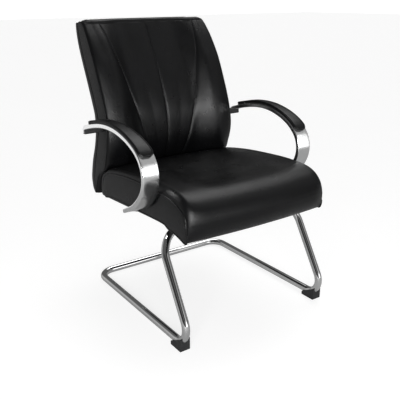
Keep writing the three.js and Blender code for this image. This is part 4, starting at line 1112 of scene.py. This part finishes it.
def bar_outline(width, thickness, edge):
    """Outlines of rounded rectangles for arrays of width and thickness. They start where the outer side
    meets its upper corner, so that partners lie across the bar."""
    width, thickness = np.broadcast_arrays(width, thickness)
    angle = np.linspace(0, np.pi / 2, CORNER_POINTS)
    arcs = []
    for quarter, (side, level) in enumerate(((1, 1), (-1, 1), (-1, -1), (1, -1))):
        phi = angle + quarter * np.pi / 2
        a = side * (width / 2 - edge)[:, None] + edge * np.cos(phi)
        b = level * (thickness / 2 - edge)[:, None] + edge * np.sin(phi)
        arcs.append(np.stack([a, b], axis=-1))
    share = np.linspace(0, 1, STRAIGHT_POINTS + 2)[1:-1, None]
    parts = []
    for arc, following in zip(arcs, arcs[1:] + arcs[:1]):
        start, end = arc[:, -1:], following[:, :1]
        parts += [arc, blend(start, end, share)]
    return np.concatenate(parts, axis=1)


def bar_rings(centre, across, out, width, thickness, edge):
    """Rings of a bar: its outline laid out along the across and outward directions at each centre."""
    outline = bar_outline(width, thickness, edge)
    return centre[:, None] + outline[..., :1] * across[:, None] + outline[..., 1:] * out[:, None]


# %% [markdown]
# The loop ends where the bar has come down the front. From there a curve leads inwards to a flat tongue
# that is bolted under the cushion, and the bar turns and thins out on the way.

# %% Arms
FOOT_START = 0.965
FOOT_WIDTH = 0.044
FOOT_THICKNESS = 0.008
FOOT_SETBACK = 0.351 - LEG_TOP[1]
FOOT_TIP_X = 0.206
FOOT_BEND_X = 0.271
HOOK_SWELL = 0.006


def arm_band_rings(count=260):
    """Rings of the loop from the rear hook to where the foot starts, with the last centre and outward
    direction."""
    share = np.linspace(0, FOOT_START, count)
    centre, out = arm_frame(share)
    across = np.tile([1.0, 0, 0], (count, 1))
    rings = bar_rings(centre, across, out, arm_width(share), arm_thickness(share), ARM_EDGE)
    return rings, centre[-1], out[-1]


def arm_foot_rings(start, out, count=40):
    """Rings of the foot: a curve with one control point leads from the end of the loop to a flat tongue
    on the seat board, while the bar's frame turns from the loop's to the seat's."""
    along = np.cross(out, [1.0, 0, 0])
    along = along if along[1] > 0 else -along
    seat_up = np.array([0, np.sin(SEAT_TILT), np.cos(SEAT_TILT)])
    flat = to_room(np.array([FOOT_BEND_X, FOOT_SETBACK, CUSHION_UNDERSIDE + FOOT_THICKNESS / 2]))
    bend = start + along * (flat[1] - start[1]) / along[1]
    bend[2] = flat[2]
    t = np.linspace(0, 1, count)[1:, None]
    line = start * (1 - t) ** 2 + 2 * bend * t * (1 - t) + flat * t**2
    tangent = unit(2 * (bend - start) * (1 - t) + 2 * (flat - bend) * t)
    down = out * (1 - t) - seat_up * t
    across = unit(np.cross(tangent, -down))
    lift = np.cross(tangent, across)
    share = t[:, 0]
    width = blend(ARM_WIDTH, FOOT_WIDTH, share)
    thickness = blend(arm_thickness(FOOT_START), FOOT_THICKNESS, share)
    rings = bar_rings(line, across, lift, width, thickness, ARM_EDGE)
    tip = rings[-1] + np.array([FOOT_TIP_X - FOOT_BEND_X, 0, 0])
    return np.concatenate([rings, tip[None]])


band, band_end, band_out = arm_band_rings()
foot = arm_foot_rings(band_end, band_out)
arm_rings = np.concatenate([band, foot])
hook_end = (0, -arm_along[0, 0], -arm_along[0, 1])
arms = []
for side, word in SIDES[::-1]:
    arm = new_skin(
        "arm_bar_" + word,
        on_side(arm_rings, side),
        "polished_aluminium",
        ((hook_end, HOOK_SWELL, 8), ((0, 0, 0), 0.0, 3)),
    )
    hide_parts("arm_" + word)
    arms.append(arm)

# %% [markdown]
# Behind the backrest each arm has a short flange that reaches in to the back board. It is a plain bar
# with rounded edges, and most of it is hidden in the padding. It gets the black steel finish as painted
# shade: its outer end shows as a dark block under the hook of the arm, where the dark is shade and a dark
# reflection on the metal.

# %% Rear flanges
FLANGE_HEIGHT = 0.022
FLANGE_THICKNESS = 0.012
FLANGE_REACH = 0.112
FLANGE_GAP = 0.002
FLANGE_SETBACK = ARM_FRONT_SETBACK + ARM_LOOP_DEPTH + FLANGE_GAP
FLANGE_FLOOR_HEIGHT = 0.582
FLANGE_INSET = 0.003
FLANGE_EDGE = 0.002
FLANGE_RINGS = 12

flange_x = np.linspace(ARM_HALF_SPACING - FLANGE_INSET, ARM_HALF_SPACING - FLANGE_REACH, FLANGE_RINGS)
flange_level = FLANGE_FLOOR_HEIGHT + FLANGE_HEIGHT / 2
flange_rings = bar_rings(
    np.stack(np.broadcast_arrays(flange_x, FLANGE_SETBACK, flange_level), axis=1),
    np.tile([0, 1.0, 0], (FLANGE_RINGS, 1)),
    np.tile([0, 0, 1.0], (FLANGE_RINGS, 1)),
    np.full(FLANGE_RINGS, FLANGE_THICKNESS),
    np.full(FLANGE_RINGS, FLANGE_HEIGHT),
    FLANGE_EDGE,
)
# The black steel finish of the flanges is painted shade and painted dark reflection under each hook.
for side, word in SIDES[::-1]:
    new_skin(
        "arm_flange_" + word,
        on_side(flange_rings, side),
        "black_steel",
        (((side, 0, 0), FLANGE_EDGE, 4), ((-side, 0, 0), FLANGE_EDGE, 4)),
    )

# %% [markdown]
# ## The arm pads
# A padded strip of leather lies on the outer face of each loop, from near the hook to the front
# shoulder. It is a low dome over a thin plastic base, with a blunt front end. A thin rim along both
# sides and over the front end marks where the leather is sewn.

# %% Pads
PAD_START = 0.075
PAD_END = 0.645
PAD_BASE = 0.0025
PAD_REAR_CROWN = 0.0085
PAD_FRONT_CROWN = 0.0065
PAD_INSET = 0.0015
PAD_END_REACH = 0.020
PAD_END_WIDTH_SHARE = 0.1
PAD_END_HEIGHT_SHARE = 0.35
PAD_CLEARANCE = 0.0003
DOME_POINTS = 26
UNDERSIDE_POINTS = 13
PAD_END_RINGS = 24

dome_across = curve_through([(0, 1), (0.2, 1.03), (0.4, 0.95), (0.6, 0.72), (0.8, 0.38), (1, 0)])
dome_height = curve_through([(0, 0), (0.2, 0.3), (0.4, 0.68), (0.6, 0.9), (0.8, 0.985), (1, 1)])


def dome_outline():
    """Outline of a pad as shares of half its width and of its height: over the dome from one side to the
    other, then back along the flat underside."""
    place = np.linspace(0, 1, DOME_POINTS)
    across, height = dome_across(place), dome_height(place)
    under = np.linspace(-1, 1, UNDERSIDE_POINTS + 2)[1:-1]
    return (
        np.concatenate([across, -across[-2::-1], under]),
        np.concatenate([height, height[-2::-1], np.zeros(len(under))]),
    )


def pad_rings(count=150):
    """Rings of a pad along the arm, which grow narrow and low round both ends."""
    reach = PAD_END_REACH / arm_length
    turn = 1 - np.cos(np.linspace(0, np.pi / 2, PAD_END_RINGS))
    share = np.concatenate([
        PAD_START + reach * turn,
        np.linspace(PAD_START + reach, PAD_END - reach, count)[1:-1],
        (PAD_END - reach * turn)[::-1],
    ])
    rounding = quarter_round(np.minimum(share - PAD_START, PAD_END - share) / reach)
    full = blend(PAD_END_WIDTH_SHARE, 1, rounding)
    centre, out = arm_frame(share)
    crown = blend(PAD_REAR_CROWN, PAD_FRONT_CROWN, smooth(between(share, PAD_START, PAD_END)))
    rise = crown * blend(PAD_END_HEIGHT_SHARE, 1, full)
    half = (arm_width(share) / 2 - PAD_INSET) * full
    foot = arm_thickness(share) / 2 + PAD_CLEARANCE + PAD_BASE + PAD_CLEARANCE
    across, height = dome_outline()
    level = foot[:, None] + rise[:, None] * height
    ring = centre[:, None] + level[..., None] * out[:, None]
    ring[..., 0] += half[:, None] * across
    return ring


# %% Rims of the pads
PAD_RIM_RADIUS = 0.0019
PAD_RIM_SIDES = 10
PAD_RIM_COLUMN = 13
PAD_RIM_START = 14
PAD_RIM_STOP = -9
PAD_RIM_STEP = 0.003
PAD_RIM_REFERENCE = (0.8, 0.1, 0.6)


def pad_rim(rings):
    """Path of the sewn rim: along one side of the dome, over it near the blunt end, and back along the
    other side."""
    near, far = PAD_RIM_COLUMN, 2 * (DOME_POINTS - 1) - PAD_RIM_COLUMN
    run = rings[PAD_RIM_START:PAD_RIM_STOP]
    return np.concatenate([run[:, near], rings[PAD_RIM_STOP, near + 1:far], run[::-1, far]])


pad_shape = pad_rings()
for side, word in SIDES[::-1]:
    pad = new_skin(
        "arm_pad_skin_" + word,
        on_side(pad_shape, side),
        "black_leather",
        (((0, 0, 0), 0.0, 2), ((0, 0, 0), 0.0, 2)),
    )
    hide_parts("arm_pad_" + word)
    path = even_path(on_side(pad_rim(pad_shape), side), PAD_RIM_STEP)
    new_tube("arm_pad_rim_" + word, path, PAD_RIM_RADIUS, PAD_RIM_SIDES, PAD_RIM_REFERENCE, "black_leather")

# %% [markdown]
# ## The studio
# The chair stands on a white floor that glows a little, so the shade under it stays faint. The floor
# glows less for rays that come off the chair, and the camera sees the room as plain white, as in a
# picture that has been cleared of its background.

# %% Floor
FLOOR_SEEN_GLOW = 0.79
FLOOR_GLOW = 0.14
FLOOR_REACH = 30


def make_floor():
    """A white floor with a faint cloudiness, whose glow depends on whether the camera sees it."""
    material, tree, shader, place = new_material("studio floor", (0.9, 0.9, 0.9), 0.0, 0.7)
    ray = add_node(tree, "LightPath", {}).outputs["Is Camera Ray"]
    set_inputs(tree, shader, {
        "Base Color": mixed(tree, noise(tree, place, 1.5, 2), (0.3, 0.3, 0.3), (0.31, 0.31, 0.31)),
        "Specular IOR Level": 0.1,
        "Emission Color": (1, 1, 1, 1),
        "Emission Strength": mapped(tree, ray, FLOOR_GLOW, FLOOR_SEEN_GLOW, 0, 1),
    })
    return material


floor_corners = [(x * FLOOR_REACH, y * FLOOR_REACH, 0) for x, y in ((-1, -1), (1, -1), (1, 1), (-1, 1))]
floor_mesh = bpy.data.meshes.new("floor")
floor_mesh.from_pydata(floor_corners, [], [(0, 1, 2, 3)])
floor_mesh.materials.append(make_floor())
floor = bpy.data.objects.new("floor", floor_mesh)
bpy.context.scene.collection.objects.link(floor)

# %% [markdown]
# The room is dim, so the black leather keeps its depth, and paler or darker in a few directions. The pale
# parts in front and high on the right give the arms and the tube their white bands. The two dark parts
# draw the black lines beside them.

# %% Room light
ROOM_BASE = 0.1
ROOM_LOBES = (
    (12, 5, 26, 2.2),
    (127, 61, 26, 3.5),
    (52, 50, 46, 0.3),
    (-146, 4, 30, 0.35),
    (-62, 18, 16, -0.8),
    (3, 38, 17, -0.9),
)
ROOM_DARK = 0.02
SEEN_WHITE = 1.3


def compass(azimuth, elevation):
    """Direction from the chair: azimuth 0 is straight in front, and it grows towards the right."""
    a, e = math.radians(azimuth), math.radians(elevation)
    return Vector((math.sin(a) * math.cos(e), -math.cos(a) * math.cos(e), math.sin(e)))


def make_room():
    """The room's brightness by direction: a dim base plus soft round lobes, each given by its azimuth,
    elevation, half width in degrees and strength. The camera itself sees plain white."""
    world = bpy.data.worlds.new("studio room")
    world.use_nodes = True
    tree = world.node_tree
    direction = add_node(tree, "TexCoord", {}).outputs["Generated"]
    total = ROOM_BASE
    for azimuth, elevation, width, strength in ROOM_LOBES:
        towards = {0: direction, 1: compass(azimuth, elevation)}
        dot = add_node(tree, "VectorMath", towards, operation="DOT_PRODUCT").outputs["Value"]
        edge = {"Value": dot, "From Min": math.cos(math.radians(width)), "To Max": strength}
        ramp = add_node(tree, "MapRange", edge, interpolation_type="SMOOTHSTEP").outputs["Result"]
        total = add_node(tree, "Math", {0: ramp, 1: total}, operation="ADD").outputs[0]
    held = add_node(tree, "Math", {0: total, 1: ROOM_DARK}, operation="MAXIMUM").outputs[0]
    ray = add_node(tree, "LightPath", {}).outputs["Is Camera Ray"]
    seen = add_node(tree, "Mix", {0: ray, 2: held, 3: SEEN_WHITE}, data_type="FLOAT").outputs[0]
    set_inputs(tree, tree.nodes["Background"], {"Color": (1, 1, 1, 1), "Strength": seen})
    return world


bpy.context.scene.world = make_room()

# %% [markdown]
# Lamps light chosen pieces only, as flags and screens do in a studio. The large key lamp stands behind
# the camera and draws the long highlights on the leather, and it leaves out the chrome tube, where it
# would show as a broken stripe. A narrow lamp brings out the seams of the backrest, another lights its
# rear skin for views from behind, and two smaller ones give the arms their soft grey ends.

# %% Lamps
LAMP_AIM = Vector((0, 0, 0.5))


def new_lamp(name, azimuth, elevation, distance, width, height, watts):
    """A flat soft lamp that stands in a direction from the chair and faces its middle."""
    data = bpy.data.lights.new(name, "AREA")
    data.shape = "RECTANGLE"
    data.size = width
    data.size_y = height
    data.energy = watts
    lamp = bpy.data.objects.new(name, data)
    away = distance * compass(azimuth, elevation)
    lamp.location = LAMP_AIM + away
    lamp.rotation_euler = (-away).to_track_quat("-Z", "Y").to_euler()
    bpy.context.scene.collection.objects.link(lamp)
    return lamp


def light_only(lamp, pieces, state):
    """Links a lamp to some pieces: with INCLUDE it lights nothing else, with EXCLUDE it leaves them out."""
    group = bpy.data.collections.new(lamp.name + "_pieces")
    lamp.light_linking.receiver_collection = group
    for piece in pieces:
        group.objects.link(piece)
    for linked in group.collection_objects:
        linked.light_linking.link_state = state


key_lamp = new_lamp("key_lamp", -36, 11, 3.2, 1.8, 1.25, 92)
light_only(key_lamp, [sled], "EXCLUDE")
back_lamp = new_lamp("back_lamp", -14, 30, 3.2, 0.35, 1.0, 6.6)
light_only(back_lamp, [back], "INCLUDE")
for pieces, setting in (
    ([shell], ("rear_lamp", 175, 28, 3.2, 1.6, 1.2, 45)),
    (arms, ("arm_rear_lamp", -157, 0, 1.5, 1.4, 0.95, 2.6)),
    (arms, ("arm_front_lamp", 32, 12, 1.5, 1.1, 1.0, 4.2)),
):
    lamp = new_lamp(*setting)
    lamp.visible_camera = False
    light_only(lamp, pieces, "INCLUDE")
bpy.context.scene.view_settings.view_transform = "Standard"
